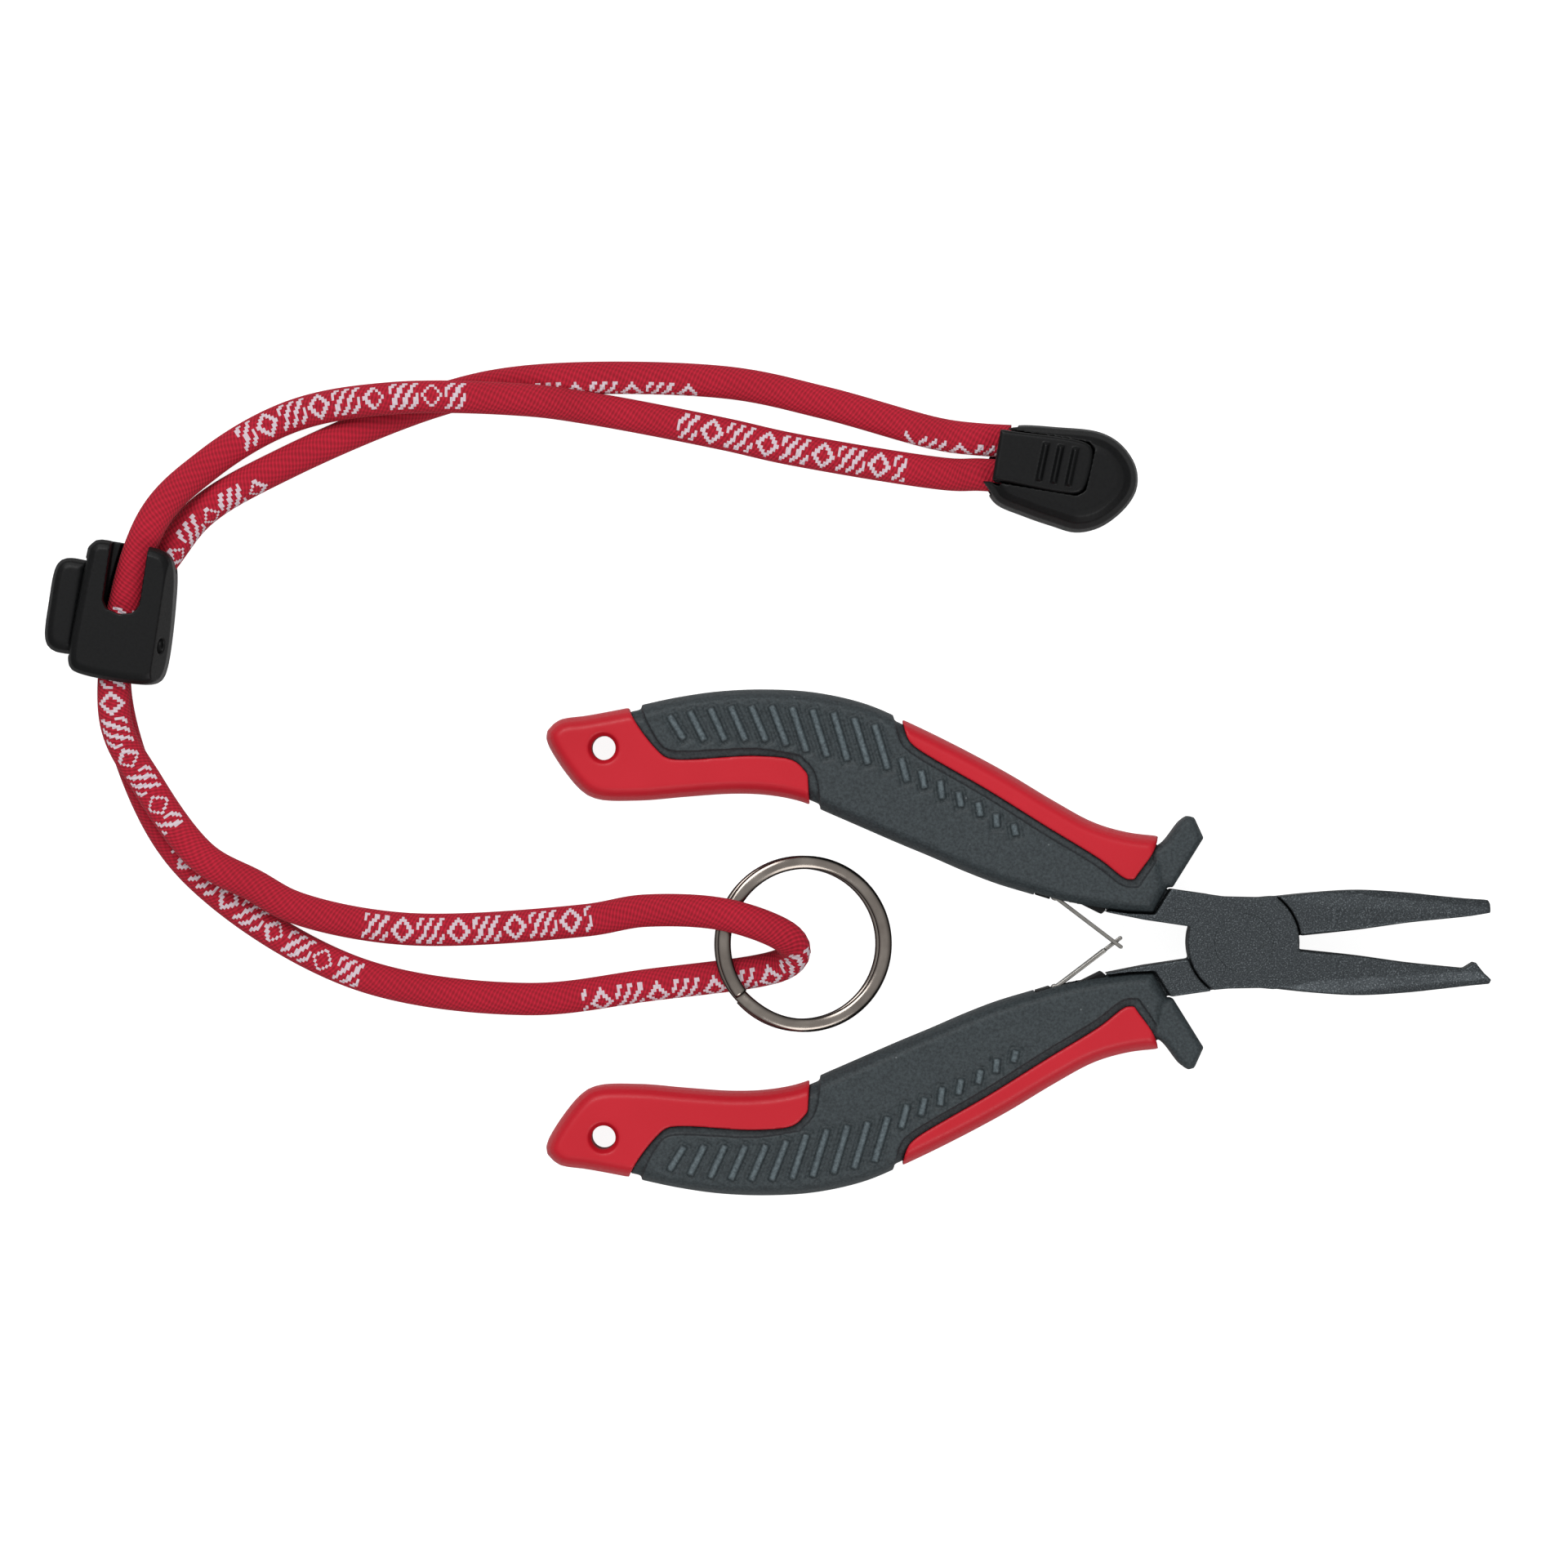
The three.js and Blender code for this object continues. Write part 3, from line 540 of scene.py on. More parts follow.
def lever(name, side, jaw_points, body, cad_node):
    """side is 1 for the lever whose arm and lap are on the upper face, -1 for the other."""
    on_side = lambda points: [(x, y * side) for x, y in points]
    steel = block(name, outline_of(jaw_points, 1.5), [
        (STEEL_LOW, 0.55), (STEEL_LOW + 0.25, 0.15), (STEEL_LOW + 0.8, 0),
        (STEEL_HIGH - 0.8, 0), (STEEL_HIGH - 0.25, 0.15), (STEEL_HIGH, 0.55)])
    # the faces taper to the tip, and two long facets are ground along the outer edge of each
    for up in (1, -1):
        shave(steel, (12, 0, MIDDLE + up * 4.5), (1.4, 0, 29 * up))
        for facet in JAW_FACETS:
            start, tip, edge = [Vector((x, -side * y, MIDDLE + up * z)) for x, y, z in facet]
            normal = (tip - start).cross(edge - start)
            shave(steel, start, normal if normal.z * up > 0 else -normal)
    add(steel, prism(on_side(ARM), STEEL_LOW, STEEL_HIGH))
    lap_low, lap_high = (MIDDLE + LAP_GAP, STEEL_HIGH) if side > 0 else (STEEL_LOW, MIDDLE - LAP_GAP)
    free_low, free_high = (0, MIDDLE + LAP_GAP) if side > 0 else (MIDDLE - LAP_GAP, TOOL_TOP)
    cut(steel, post(0, 0, DISC_R + DISC_GAP, free_low, free_high, sides=128))
    disc = post(0, 0, DISC_R, lap_low, lap_high, sides=128)
    merge(disc, prism(DISC_CLIP, 0, TOOL_TOP), "INTERSECT")
    add(steel, disc, prism(on_side(TANG), TANG_LOW, TANG_HIGH))
    soften(steel, 0.2, 4, 190000)
    # the rivet's room is reamed last, so that its rim stays sharp
    under_head = RIVET_HEAD + 0.1
    head_room = (STEEL_HIGH - under_head, TOOL_TOP) if side > 0 else (0, STEEL_LOW + under_head)
    cut(steel, post(0, 0, RIVET_R + 0.1, 0, TOOL_TOP), post(0, 0, RIVET_HEAD_R + 0.02, *head_room, sides=128))
    install(steel, name, body, cad_node, STEEL_FINISH)


STEEL_FINISH = coated_steel()
lever("hook_lever", 1, HOOK_JAW, "upper_lever", "lever_hook_jaw")
lever("plain_lever", -1, PLAIN_JAW, "lower_lever", "lever_plain_jaw")


# ---- Pivot rivet ----
# A turned steel rivet through both laps, its heads set flush and ground off with the faces, then
# coated with them. Only a fine round line shows.
rivet = post(0, 0, RIVET_R, STEEL_LOW, STEEL_HIGH)
add(rivet, post(0, 0, RIVET_HEAD_R, STEEL_LOW, STEEL_LOW + RIVET_HEAD, sides=128),
    post(0, 0, RIVET_HEAD_R, STEEL_HIGH - RIVET_HEAD, STEEL_HIGH, sides=128))
install(rivet, "flush_rivet", "pivot", "pivot_rivet", STEEL_FINISH)


# ---- Handle bodies ----
# A red glass-filled nylon body is moulded round each tang. It shows at the tail and along the
# inner strip behind, and as the outer strip in front. A countersunk eye goes through the tail.
HANDLE = [
    (-112.5, 32.6), (-112.4, 34.2), (-110.6, 35.9), (-105.8, 36.7), (-99.4, 37.9), (-91.5, 39.6),
    (-84.5, 40.6), (-76.8, 40.9), (-69, 40.4), (-61, 38.6), (-54, 35.6), (-46, 31.7), (-38, 27.4),
    (-30.5, 22.9), (-24, 19.4), (-18.5, 17.8), (-13.5, 17.2), (-11.9, 9), (-14.4, 4.5), (-18.6, 4.7),
    (-23.9, 5.4), (-29.2, 6.4), (-34.5, 7.9), (-39.8, 9.5), (-45, 11.5), (-50.3, 13.8), (-55.6, 16),
    (-60.9, 18.3), (-66.2, 20.6), (-71.5, 22.8), (-76.8, 23.8), (-82.5, 24), (-90, 23.5), (-97.5, 22.9),
    (-104.5, 23.2), (-107.2, 24.8),
]
HANDLE_LOW, HANDLE_HIGH = 0.4, 11.6
HANDLE_SIDES = [
    (HANDLE_LOW, 2.0), (0.8, 1.35), (1.6, 0.75), (3, 0.25), (5.2, 0), (6.8, 0), (9, 0.25), (10.4, 0.75),
    (11.2, 1.35), (HANDLE_HIGH, 2.0),
]
# where the red shows: the tail with the inner strip, and the outer strip in front
TAIL_AREA = [
    (-116, 12), (-116, 44), (-99.8, 44), (-99, 37.5), (-94.3, 30.8), (-92.7, 29.7), (-78.3, 30.1),
    (-72.4, 29.3), (-70.3, 27.2), (-69.2, 12),
]
STRIP_AREA = [
    (-55.3, 45), (-55, 35.9), (-54, 32.6), (-52.9, 31.5), (-40.7, 24.3), (-31.9, 18.8), (-23.1, 13.4),
    (-19, 10.3), (-17.7, 10.2), (-13.7, 16.9), (-13.7, 45),
]
# the hidden middle of the red body, under the grip
CORE = [
    (-100, 27), (-100, 34), (-88, 36.8), (-78, 37.8), (-68, 37), (-60, 34.8), (-50, 31.5), (-40, 26.2),
    (-30, 20.4), (-22, 16.7), (-16.3, 14.7), (-14.8, 10.5), (-16.6, 7.4), (-20, 8.2), (-24, 10.7),
    (-34, 12.4), (-45, 16), (-56, 20.6), (-66, 24.6), (-72, 26.2), (-95, 26.4),
]
CORE_LOW, CORE_HIGH = 2.6, 9.4
EYE = (-103.2, 31.4)
EYE_R, EYE_RIM_R, EYE_RIM_DEPTH = 1.95, 2.6, 1.3
BELOW, ABOVE = -1, 13  # heights clear of both faces, for cutters that pass through them
SEAT_GAP = 0.2
SEAM_LAP = 0.04  # moulded faces that bond at a seam press into each other by this much


def lever_pocket():
    """The room that the arm and tang take inside a handle, as cutters."""
    return prism(ARM, STEEL_LOW, STEEL_HIGH, -SEAM_LAP), prism(TANG, TANG_LOW, TANG_HIGH, SEAT_GAP)


def mirrored(piece):
    """The same piece for the lower handle, with its own mesh and its faces outwards."""
    twin = piece.copy()
    twin.data = piece.data.copy()
    bpy.context.scene.collection.objects.link(twin)
    only(twin)
    bpy.ops.object.mode_set(mode="EDIT")
    bpy.ops.mesh.select_all(action="SELECT")
    bpy.ops.transform.resize(value=(1, -1, 1), center_override=(0, 0, 0))
    bpy.ops.mesh.normals_make_consistent(inside=False)
    bpy.ops.object.mode_set(mode="OBJECT")
    return twin


def moulded_nylon():
    """Injection-moulded red nylon: satin from a spark-eroded mould, faint flow marks."""
    material, tree, shader = new_material("moulded_red_nylon", Roughness=0.42, Specular_IOR_Level=0.28)
    place = object_place(tree)
    flow = node(tree, "TexNoise", Vector=place, Scale=70.0, Detail=2.0)  # flow marks over 15 mm
    dye = node(tree, "Mix", {"data_type": "RGBA"}, _0=flow, _6=srgb("B61423"), _7=srgb("C41D2D"))
    tree.links.new(dye.outputs[2], shader.inputs["Base Color"])
    grain = node(tree, "TexNoise", Vector=place, Scale=3200.0, Detail=3.0)  # eroded grain of 0.3 mm
    gloss = node(tree, "MapRange", Value=grain, From_Min=0.3, From_Max=0.7, To_Min=0.36, To_Max=0.5)
    tree.links.new(gloss.outputs[0], shader.inputs["Roughness"])
    bump = node(tree, "Bump", Strength=0.2, Distance=0.00005, Height=grain)
    tree.links.new(bump.outputs[0], shader.inputs["Normal"])
    return material


handle_outline = outline_of(HANDLE, 1.2)
red = block("handle_body", handle_outline, HANDLE_SIDES)
red_areas = [prism(area, BELOW, ABOVE, step=1) for area in (TAIL_AREA, STRIP_AREA)]
merge(red, joined(red_areas), "INTERSECT")
add(red, prism(CORE, CORE_LOW, CORE_HIGH))
cut(red, *lever_pocket(),
    post(*EYE, EYE_R, BELOW, ABOVE),
    post(*EYE, EYE_R, HANDLE_HIGH - EYE_RIM_DEPTH, HANDLE_HIGH + 0.1, EYE_RIM_R),
    post(*EYE, EYE_RIM_R, HANDLE_LOW - 0.1, HANDLE_LOW + EYE_RIM_DEPTH, EYE_R))
soften(red, 0.28, 4, 160000)
NYLON = moulded_nylon()
red_twin = mirrored(red)
install(red, "red_body_upper", "upper_lever", "handle_core_upper", NYLON)
install(red_twin, "red_body_lower", "lower_lever", "handle_core_lower", NYLON)


# ---- Soft grips ----
# A dark elastomer is moulded over the red body: a raised pad with slanted ribs on both faces, a
# lower channel where it meets the red, and a thick guard in front that keeps the hand off the jaws.
TAIL_CHANNEL = [
    (-116, 12), (-116, 46), (-98, 46), (-97.1, 38.1), (-93.9, 31.9), (-92.7, 31.1), (-78.3, 31.3),
    (-71.6, 30.3), (-69.1, 27.4), (-68, 12),
]
STRIP_CHANNEL = [
    (-57.2, 46), (-56.3, 36), (-55.1, 31.9), (-53.4, 30.4), (-41.2, 23.2), (-32.4, 17.6), (-23.7, 12.3),
    (-19.3, 9.1), (-16.9, 9), (-12.5, 16.8), (-12.5, 46),
]
CHANNEL_DEPTH = 0.9
CHANNEL_SET_BACK = 0.7
GUARD = [
    (-13, 16.1), (-10.1, 19.7), (-8.9, 20.5), (-7.9, 20.2), (-6.4, 16.9), (-11.4, 8.9), (-14.6, 9.4),
    (-15, 15),
]
GUARD_SIDES = [(1.2, 0.9), (1.7, 0.3), (2.6, 0), (9.4, 0), (10.3, 0.3), (10.8, 0.9)]
RIB_WIDTH = 1.4
RIB_SIDES = [(0, 0.42), (0.2, 0.2), (0.6, 0), (11.4, 0), (11.8, 0.2), (TOOL_TOP, 0.42)]
MOAT, MOAT_DEPTH = 0.5, 0.4  # each rib stands in a hollow of this width and depth
# outer and inner end of every rib
RIBS = [
    (-92.7, 36.8, -90.1, 32.6), (-89.4, 37.5, -86.8, 32.4), (-86.1, 38, -83.5, 32.4),
    (-82.8, 38.3, -80.2, 32.4), (-79.5, 38.4, -76.9, 32.3), (-76.2, 38.4, -73.6, 31.6),
    (-72.9, 38.2, -70.4, 30.6), (-69.6, 37.8, -67.1, 29.8), (-66.2, 37.3, -63.8, 29.2),
    (-62.9, 36.5, -60.5, 28.6), (-59.6, 35.4, -57.3, 27.8), (-55.3, 30, -54.2, 25.8),
    (-52.1, 28, -51.4, 24.7), (-49, 26.4, -48.6, 23), (-46.1, 24.6, -45.5, 21.7),
    (-42.9, 22.9, -42.4, 20.2), (-40, 21.1, -39.8, 18.4), (-37.2, 19.4, -36.7, 17.1),
]
SEAT = [
    (-33.5, 7.7), (-33.5, 9.8), (-24.8, 9.8), (-22.6, 8), (-22.2, 5.2), (-22.9, 4.6), (-23.6, 4.5),
    (-27.5, 5.5), (-30.4, 6.75),
]
SEAT_LOW, SEAT_HIGH = 3.1, 8.9
LEAF_ROOT = Vector((-30.3, 7.35))
LEAF_ANGLE = math.radians(-37.2)
LEAF_LENGTH = 13.6
LEAF_THICK = 0.6
LEAF_LOW, LEAF_HIGH = 3.5, 8.5
LEAF_SWING = (math.radians(-25), math.radians(-46.5))


def from_leaf_root(angle, along, across):
    c, s = math.cos(angle), math.sin(angle)
    return LEAF_ROOT.x + along * c - across * s, LEAF_ROOT.y + along * s + across * c


def leaf_room(low, high):
    """The wedge that a leaf spring sweeps, with clearance, as a cutter."""
    clear = LEAF_THICK / 2 + SEAT_GAP
    near, far = LEAF_SWING
    return prism([from_leaf_root(near, LEAF_LENGTH, clear), from_leaf_root(near, 0.5, clear + 0.3),
                  from_leaf_root(near, -0.4, clear + 0.35), from_leaf_root(near, -0.9, 0),
                  from_leaf_root(far, -0.4, -clear - 0.35), from_leaf_root(far, 0.5, -clear - 0.3),
                  from_leaf_root(far, LEAF_LENGTH, -clear)], low, high)


def rib(x0, y0, x1, y1, moat=0):
    """One slanted rib through the handle, or with a moat the wider cutter that frees it."""
    along = Vector((x1 - x0, y1 - y0)).normalized()
    start, end = Vector((x0, y0)) - along * moat, Vector((x1, y1)) + along * moat
    across = Vector((-along.y, along.x)) * (RIB_WIDTH / 2 + moat)
    ends = [start + across, end + across, end - across, start - across]
    if not moat:
        return block("rib", outline_of(ends), RIB_SIDES)
    return joined([prism(ends, BELOW, HANDLE_LOW + MOAT_DEPTH), prism(ends, HANDLE_HIGH - MOAT_DEPTH, ABOVE)])


def soft_elastomer():
    """Moulded thermoplastic elastomer: matt blue-grey, finely mottled, with a few pale dust specks."""
    material, tree, shader = new_material("moulded_elastomer", Roughness=0.58, Specular_IOR_Level=0.3)
    place = object_place(tree)
    mottle = node(tree, "TexNoise", Vector=place, Scale=2300.0, Detail=3.0, Roughness=0.6)  # 0.4 mm
    skin = node(tree, "ValToRGB", Fac=mottle)
    ramp = skin.color_ramp
    ramp.elements[0].position, ramp.elements[0].color = 0.3, srgb("252B2E")
    ramp.elements[1].position, ramp.elements[1].color = 0.72, srgb("3D4548")
    dust = node(tree, "TexVoronoi", Vector=place, Scale=260.0)  # a speck of 0.2 mm every 4 mm or so
    speck = node(tree, "MapRange", Value=dust.outputs["Distance"], From_Min=0.02, From_Max=0.05,
                 To_Min=0.35, To_Max=0.0)
    dusted = node(tree, "Mix", {"data_type": "RGBA"}, _0=speck)
    tree.links.new(skin.outputs[0], dusted.inputs[6])
    dusted.inputs[7].default_value = srgb("9AA0A2")
    # painted highlight: the rib crests, more than 5.7 mm from the middle of the thickness, are painted
    # lighter where the light would catch them
    level = node(tree, "SeparateXYZ", Vector=place).outputs[2]
    proud = node(tree, "Math", {"operation": "ABSOLUTE"},
                 _0=node(tree, "Math", {"operation": "SUBTRACT"}, _0=level, _1=MIDDLE * MM))
    crest_painted_light = node(tree, "MapRange", Value=proud, From_Min=0.0057, From_Max=0.00598,
                 To_Min=1.0, To_Max=2.6)
    dusted_and_highlit = node(tree, "HueSaturation", Value=crest_painted_light, Color=dusted.outputs[2])
    tree.links.new(dusted_and_highlit.outputs[0], shader.inputs["Base Color"])
    bump = node(tree, "Bump", Strength=0.35, Distance=0.00006, Height=mottle)
    tree.links.new(bump.outputs[0], shader.inputs["Normal"])
    return material


grip = block("grip", handle_outline, HANDLE_SIDES)
cut(grip, joined([prism(area, BELOW, ABOVE, step=1) for area in (TAIL_CHANNEL, STRIP_CHANNEL)]),
    joined([rib(*ends, MOAT) for ends in RIBS]))
floor_sides = []
for height, inset in HANDLE_SIDES:
    sunk = CHANNEL_DEPTH if inset > 0.5 else 0
    floor_sides.append((height + (sunk if height < MIDDLE else -sunk), inset + CHANNEL_SET_BACK))
add(grip, block("channel_floor", handle_outline, floor_sides),
    block("guard", outline_of(GUARD, 0.8), GUARD_SIDES), joined([rib(*ends) for ends in RIBS]))
cut(grip, joined([prism(area, BELOW, ABOVE, -SEAM_LAP, 1) for area in (TAIL_AREA, STRIP_AREA)]),
    prism(CORE, CORE_LOW, CORE_HIGH, SEAT_GAP), *lever_pocket(),
    prism(SEAT, SEAT_LOW, SEAT_HIGH, SEAT_GAP), leaf_room(LEAF_LOW - 0.3, LEAF_HIGH + 0.3))
soften(grip, 0.25, 2, 190000)
ELASTOMER = soft_elastomer()
grip_twin = mirrored(grip)
install(grip, "soft_grip_upper", "upper_lever", "grip_upper", ELASTOMER)
install(grip_twin, "soft_grip_lower", "lower_lever", "grip_lower", ELASTOMER)


# ---- Spring seats ----
# A small black acetal block is let into the inner wall of each handle. Its slot holds the root of
# the leaf spring, and a lug stands out beside it.
def moulded_black():
    """Moulded black acetal and nylon: near-black, satin, with a fine mould grain."""
    material, tree, shader = new_material("moulded_black_plastic", Roughness=0.45, Specular_IOR_Level=0.2)
    place = object_place(tree)
    grain = node(tree, "TexNoise", Vector=place, Scale=2600.0, Detail=3.0)  # mould grain of 0.35 mm
    tone = node(tree, "Mix", {"data_type": "RGBA"}, _0=grain, _6=srgb("060607"), _7=srgb("0C0D0E"))
    tree.links.new(tone.outputs[2], shader.inputs["Base Color"])
    gloss = node(tree, "MapRange", Value=grain, From_Min=0.3, From_Max=0.7, To_Min=0.38, To_Max=0.5)
    tree.links.new(gloss.outputs[0], shader.inputs["Roughness"])
    bump = node(tree, "Bump", Strength=0.2, Distance=0.00005, Height=grain)
    tree.links.new(bump.outputs[0], shader.inputs["Normal"])
    return material


seat = prism(SEAT, SEAT_LOW, SEAT_HIGH)
cut(seat, leaf_room(0, TOOL_TOP))
soften(seat, 0.14, 2)
BLACK = moulded_black()
seat_twin = mirrored(seat)
install(seat, "seat_upper", "upper_lever", "spring_seat_upper", BLACK)
install(seat_twin, "seat_lower", "lower_lever", "spring_seat_lower", BLACK)


# ---- Leaf springs ----
# Two flat leaves of hardened spring steel push the handles apart. They cross on the mid-line,
# where the tongue of one passes through the slot of the other, and their ends are rounded.
LEAF_SPLIT = 10.3  # where the fork's slot and the tongue begin
FORK_SLOT, TONGUE = 2.2, 1.4


def spring_steel():
    """Cold-rolled spring steel strip: bright, with fine lines along the rolling and sheared edges."""
    material, tree, shader = new_material("cold_rolled_spring_steel", Metallic=1.0, Roughness=0.34)
    place = object_place(tree)
    lines = node(tree, "TexNoise", Scale=1.0, Detail=2.0,
                 Vector=node(tree, "Mapping", Vector=place, Scale=(500.0, 500.0, 9000.0)))  # 0.1 mm lines
    tone = node(tree, "Mix", {"data_type": "RGBA"}, _0=lines, _6=srgb("7C7975"), _7=srgb("A3A19C"))
    tree.links.new(tone.outputs[2], shader.inputs["Base Color"])
    bump = node(tree, "Bump", Strength=0.2, Distance=0.00003, Height=lines)
    tree.links.new(bump.outputs[0], shader.inputs["Normal"])
    return material


def leaf_strip(start, end, low, high):
    half = LEAF_THICK / 2
    corners = [(start, half), (end - 0.15, half), (end, half * 0.4), (end, -half * 0.4), (end - 0.15, -half),
               (start, -half)]
    return prism([from_leaf_root(LEAF_ANGLE, *corner) for corner in corners], low, high)


SPRING = spring_steel()
fork = leaf_strip(0, LEAF_LENGTH, LEAF_LOW, LEAF_HIGH)
slot_corners = [(LEAF_SPLIT, 1), (LEAF_LENGTH + 1, 1), (LEAF_LENGTH + 1, -1), (LEAF_SPLIT, -1)]
cut(fork, prism([from_leaf_root(LEAF_ANGLE, *corner) for corner in slot_corners],
                MIDDLE - FORK_SLOT / 2, MIDDLE + FORK_SLOT / 2))
add(fork, post(*LEAF_ROOT, 0.6, LEAF_LOW, LEAF_HIGH, sides=32))
soften(fork, 0.09, 2)
install(fork, "fork_leaf", "fork", "leaf_spring_fork", SPRING)

tongue = leaf_strip(0, LEAF_SPLIT - 0.1, LEAF_LOW, LEAF_HIGH)
add(tongue, leaf_strip(LEAF_SPLIT - 1, LEAF_LENGTH, MIDDLE - TONGUE / 2, MIDDLE + TONGUE / 2),
    post(*LEAF_ROOT, 0.6, LEAF_LOW, LEAF_HIGH, sides=32))
soften(tongue, 0.09, 2)
tongue_twin = mirrored(tongue)
bpy.data.objects.remove(tongue)
install(tongue_twin, "tongue_leaf", "tongue", "leaf_spring_tongue", SPRING)


# ---- Split ring ----
# Two turns of oval spring wire, dark-nickel plated, with painted reflections: lighter where the wire faces up
# and brown-black on its flanks. The wire steps up from the lower turn to the upper one beside its cut ends.
RING_R = 13.2
RING_BAND, RING_WIRE = 2.2, 1.1
RING_TURN_GAP = 0.15
RING_OFFSET = 0.35  # the upper turn lies this far to the right of the lower one
RING_CENTRE = (-71.5, -0.3)
RING_TILT = math.radians(8.6)
RING_START, RING_SWEEP = math.radians(222), math.radians(716)
RING_STEP = (math.radians(340), math.radians(376))
RING_STATIONS = 360


def dark_nickel():
    """Black-nickel plated wire: mirror-like, brown-grey, with tarnish."""
    material, tree, shader = new_material("black_nickel_plate", Metallic=1.0, Roughness=0.16)
    place = object_place(tree)
    tarnish = node(tree, "TexNoise", Vector=place, Scale=260.0, Detail=3.0)  # stains over 4 mm
    bright = node(tree, "Mix", {"data_type": "RGBA"}, _0=tarnish, _6=srgb("6E655F"), _7=srgb("A59D95"))
    # painted reflection: the wire's colour is lighter where it faces up or down and brown-black on its
    # flanks, standing in for the bright and dark surroundings it reflects
    facing = node(tree, "SeparateXYZ", Vector=node(tree, "NewGeometry").outputs["Normal"])
    level = node(tree, "Math", {"operation": "ABSOLUTE"}, _0=facing.outputs[2])
    crest_painted_light = node(tree, "MapRange", Value=level, From_Min=0.66, From_Max=0.97)
    tone = node(tree, "Mix", {"data_type": "RGBA"}, _0=crest_painted_light, _6=srgb("2B2320"))
    tree.links.new(bright.outputs[2], tone.inputs[7])
    tree.links.new(tone.outputs[2], shader.inputs["Base Color"])
    gloss = node(tree, "MapRange", Value=tarnish, From_Min=0.3, From_Max=0.7, To_Min=0.12, To_Max=0.26)
    tree.links.new(gloss.outputs[0], shader.inputs["Roughness"])
    return material


def ring_point(t):
    """Centre of the wire at a share t of its length, in the ring's own plane, with its outward way."""
    angle = RING_START + RING_SWEEP * t
    share = (t * RING_SWEEP - RING_STEP[0]) / (RING_STEP[1] - RING_STEP[0])
    share = min(max(share, 0), 1)
    step = share * share * (3 - 2 * share)
    outward = Vector((math.cos(angle), math.sin(angle), 0))
    return outward * RING_R + Vector((RING_OFFSET, 0, RING_WIRE + RING_TURN_GAP)) * step, outward


def split_ring():
    mesh = bmesh.new()
    section = [(math.cos(math.pi * k / 12), math.sin(math.pi * k / 12)) for k in range(24)]
    rings = []
    for i in range(RING_STATIONS + 1):
        here, outward = ring_point(i / RING_STATIONS)
        rings.append([mesh.verts.new(here + outward * a * RING_BAND / 2 + Vector((0, 0, b * RING_WIRE / 2)))
                      for a, b in section])
    ring = tube("ring", mesh, rings)
    half = RING_BAND / 2
    for vertex in ring.data.vertices:
        # it is tipped up about its edge towards the jaws, where it rests on the table
        x, y, z = vertex.co.x - RING_R - half, vertex.co.y, vertex.co.z + RING_WIRE / 2
        c, s = math.cos(RING_TILT), math.sin(RING_TILT)
        x, z = x * c + z * s + RING_R + half, z * c - x * s + 0.1
        vertex.co = (x + RING_CENTRE[0], y + RING_CENTRE[1], z)
    return ring


install(split_ring(), "two_turn_ring", "lanyard", "split_ring", dark_nickel())


# ---- Cord lock ----
# A black moulded body with two tunnels for the strap, open to the front at one end, and a push
# button that slides in its side against a hidden spring. The far end face slopes, with a small hole.
LOCK_CENTRE = (-181.4, 53.3)
LOCK_LEAN = math.radians(-8.66)
LOCK_BODY = [
    (-5.2, 11), (-1.9, 11.2), (4.6, 11.1), (6.6, 10.4), (7.6, 8.6), (8.4, 2), (8.5, -8.1), (7.9, -9.9),
    (6.3, -10.8), (-4.3, -10.8), (-6.2, -10.2), (-6.9, -8.7), (-6.8, 2), (-6.4, 9.6),
]
LOCK_SIDES = [(0, 1.5), (0.5, 0.6), (1.5, 0), (10.5, 0), (11.5, 0.6), (TOOL_TOP, 1.5)]
LOCK_BUTTON = [
    (-5.8, 7.5), (-9.4, 7.5), (-10.7, 6.8), (-11.3, 5.4), (-11.5, 0), (-11.3, -5.6), (-10.7, -7),
    (-9.4, -7.8), (-5.8, -7.8),
]
BUTTON_SIDES = [(1.6, 1.5), (2.1, 0.6), (3.2, 0), (8.8, 0), (9.9, 0.6), (10.4, 1.5)]
BUTTON_POCKET = [(-8.5, 7.8), (-8.5, -8.1), (-3.4, -8.1), (-3.4, 7.8)]
BUTTON_POCKET_Z = (1.3, 10.7)
FRONT_SLOT = [(-2.7, 12), (-2.7, 1.6), (-1.9, 0.3), (0.3, -0.3), (2.5, 0.3), (3.3, 1.6), (3.3, 12)]
FRONT_SLOT_FLOOR = 7.9
STRAND_GAP = 0.8
LOCK_REACH = 17  # the strap is inside the lock at points nearer its centre than this


def leaning(points, centre, lean):
    """Outline points from a piece's own axes to the plan."""
    c, s = math.cos(lean), math.sin(lean)
    return [(centre[0] + u * c - v * s, centre[1] + u * s + v * c) for u, v in points]


def on_lock(points):
    return leaning(points, LOCK_CENTRE, LOCK_LEAN)


def strap_tunnels():
    """The strap's two stretches through the lock, thickened by the gap, as cutters."""
    near = [i for i, p in enumerate(strap_line) if (p.to_2d() - Vector(LOCK_CENTRE)).length < LOCK_REACH]
    middle = next(k for k in range(1, len(near)) if near[k] > near[k - 1] + 1)
    return [level_tube("tunnel", [strap_line[i] for i in part], STRAP_WIDTH + STRAND_GAP,
                       STRAP_THICK + STRAND_GAP, 24) for part in (near[:middle], near[middle:])]


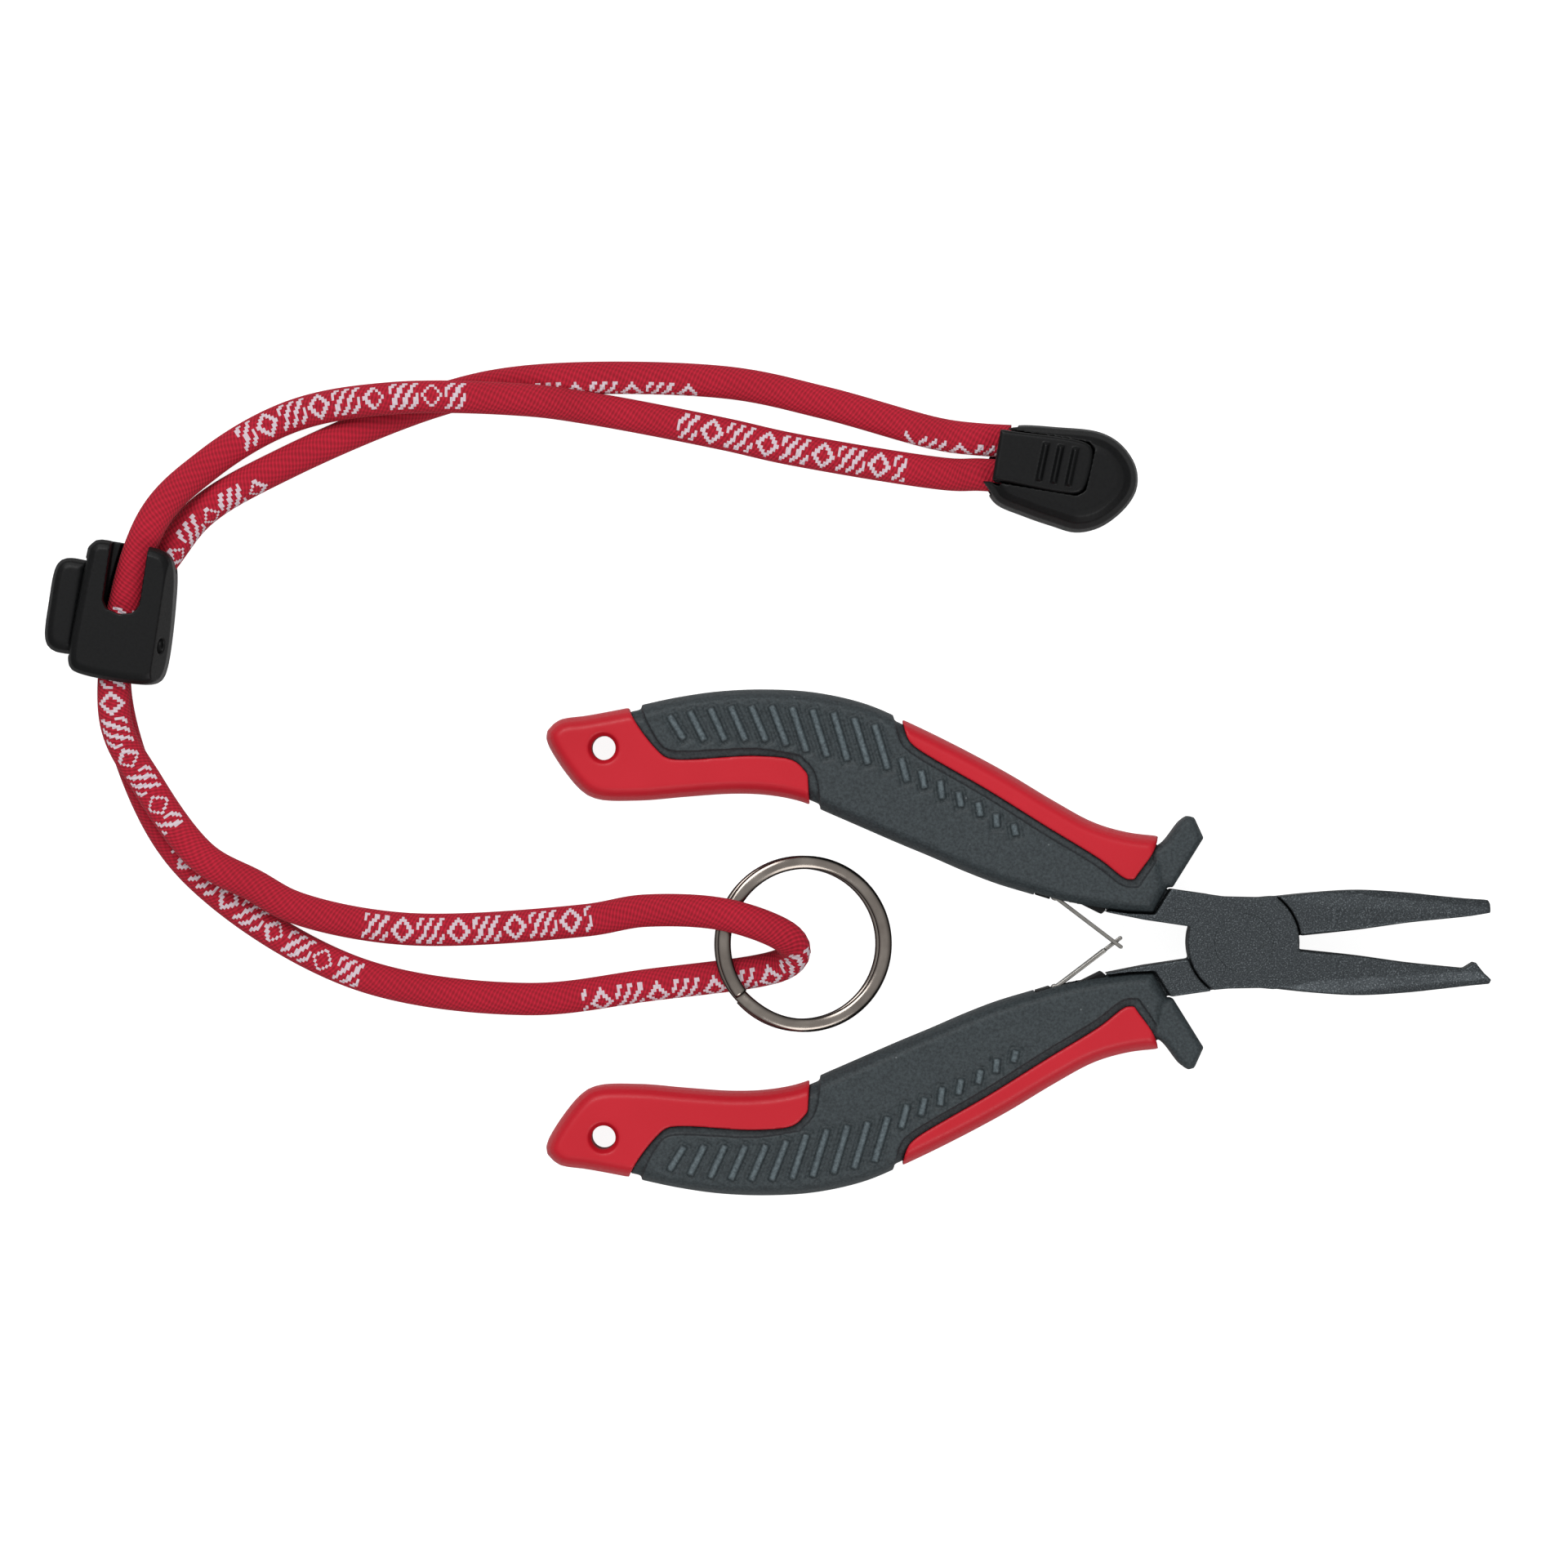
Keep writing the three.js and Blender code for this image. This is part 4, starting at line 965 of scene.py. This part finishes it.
lock = block("lock", outline_of(on_lock(LOCK_BODY), 0.9, 60), LOCK_SIDES)
end_u = Vector((math.cos(LOCK_LEAN), math.sin(LOCK_LEAN), 0))
(end_x, end_y), = on_lock([(6.7, 0)])
shave(lock, (end_x, end_y, TOOL_TOP), end_u * 4 + Vector((0, 0, 1.9)))
cut(lock, *strap_tunnels(), prism(on_lock(FRONT_SLOT), FRONT_SLOT_FLOOR, ABOVE),
    prism(on_lock(BUTTON_POCKET), *BUTTON_POCKET_Z))
(hole_x, hole_y), = on_lock([(7.5, -4.4)])
bpy.ops.mesh.primitive_uv_sphere_add(segments=24, ring_count=16, location=(hole_x, hole_y, 10),
                                     rotation=(0, 0, LOCK_LEAN))
bpy.context.object.scale = (0.9, 1.25, 1.1)
bpy.ops.object.transform_apply(location=True, rotation=True, scale=True)
cut(lock, bpy.context.object)
soften(lock, 0.2, 4)
install(lock, "lock_case", "lanyard", "cord_lock_body", BLACK)

button = block("button", outline_of(on_lock(LOCK_BUTTON), 0.9, 60), BUTTON_SIDES)
soften(button, 0.2, 5)
install(button, "lock_plunger", "lock_button", "cord_lock_button", BLACK)


# ---- Cord end ----
# A drop-shaped black moulded clamp over both ends of the strap. A hinged lid with three grip
# ridges is let into its face and swings up on a pin across the mouth.
CLAMP_HINGE = (-38.8, 78.4)
CLAMP_LEAN = math.radians(-9.4)
CLAMP_BODY = [
    (-42.9, 75), (-41.5, 73.2), (-39.8, 70.9), (-35.5, 69), (-30.9, 67.4), (-26.8, 66.3), (-22.8, 67.2),
    (-18.9, 70.2), (-17.1, 73.2), (-17, 76.2), (-18.2, 78.9), (-20.4, 81.2), (-23.4, 82.6), (-29.8, 83.3),
    (-36.3, 83.6), (-38.5, 83),
]
CLAMP_SIDES = [
    (0, 2.4), (0.6, 1.2), (1.8, 0.4), (3.6, 0), (6.6, 0), (8.6, 0.4), (10, 1.3), (10.8, 2.4), (11, 3.4),
]
CLAMP_MOUTH = [(-7, -6.2), (1.7, -6.2), (1.7, 6.5), (-7, 6.5)]
CLAMP_MOUTH_Z = (2.4, 8)
LID = [(-1.1, -4), (12.7, -4), (13.7, -3.1), (14.1, 3.3), (13.2, 4.2), (-1.1, 4.2)]
LID_SIDES = [(8.2, 0.3), (8.5, 0), (10.9, 0), (11.25, 0.2), (11.4, 0.55)]
LID_BAY = [(-6, -4.3), (12.8, -4.3), (14, -3.3), (14.4, 3.5), (13.4, 4.5), (-6, 4.5)]
LID_BAY_FLOOR = 7.8
LID_RIDGE = [(0, -3.1), (1.1, -3.1), (1.4, 3.3), (0.3, 3.3)]
LID_RIDGES = (5.7, 8.1, 10.5)
RIDGE_SIDES = [(10.4, 0), (11.6, 0.1), (TOOL_TOP, 0.45)]
PIN_R, PIN_LENGTH, PIN_HEIGHT = 0.8, 8.6, 9.7


def on_clamp(points):
    return leaning(points, CLAMP_HINGE, CLAMP_LEAN)


def hinge_pin(radius, length):
    """A bar across the mouth, along the lid's hinge."""
    bpy.ops.object.select_all(action="DESELECT")
    bpy.ops.mesh.primitive_cylinder_add(vertices=32, radius=radius, depth=length,
                                        location=(*CLAMP_HINGE, PIN_HEIGHT),
                                        rotation=(math.pi / 2, 0, CLAMP_LEAN))
    bpy.ops.object.transform_apply(location=True, rotation=True, scale=True)
    return bpy.context.object


clamp = block("clamp", outline_of(CLAMP_BODY, 0.8, 60), CLAMP_SIDES)
cut(clamp, prism(on_clamp(CLAMP_MOUTH), *CLAMP_MOUTH_Z),
    prism(on_clamp(LID_BAY), LID_BAY_FLOOR, ABOVE), hinge_pin(PIN_R + 0.1, PIN_LENGTH + 0.8))
soften(clamp, 0.2, 4)
install(clamp, "clamp_shell", "lanyard", "cord_end_body", BLACK)

lid = block("lid", outline_of(on_clamp(LID), 0.8, 60), LID_SIDES)
add(lid, hinge_pin(PIN_R, PIN_LENGTH), *[
    block("ridge", outline_of(on_clamp([(a + u, v) for u, v in LID_RIDGE])), RIDGE_SIDES)
    for a in LID_RIDGES])
soften(lid, 0.14, 3)
install(lid, "clamp_flap", "clamp_lid", "cord_end_lid", BLACK)
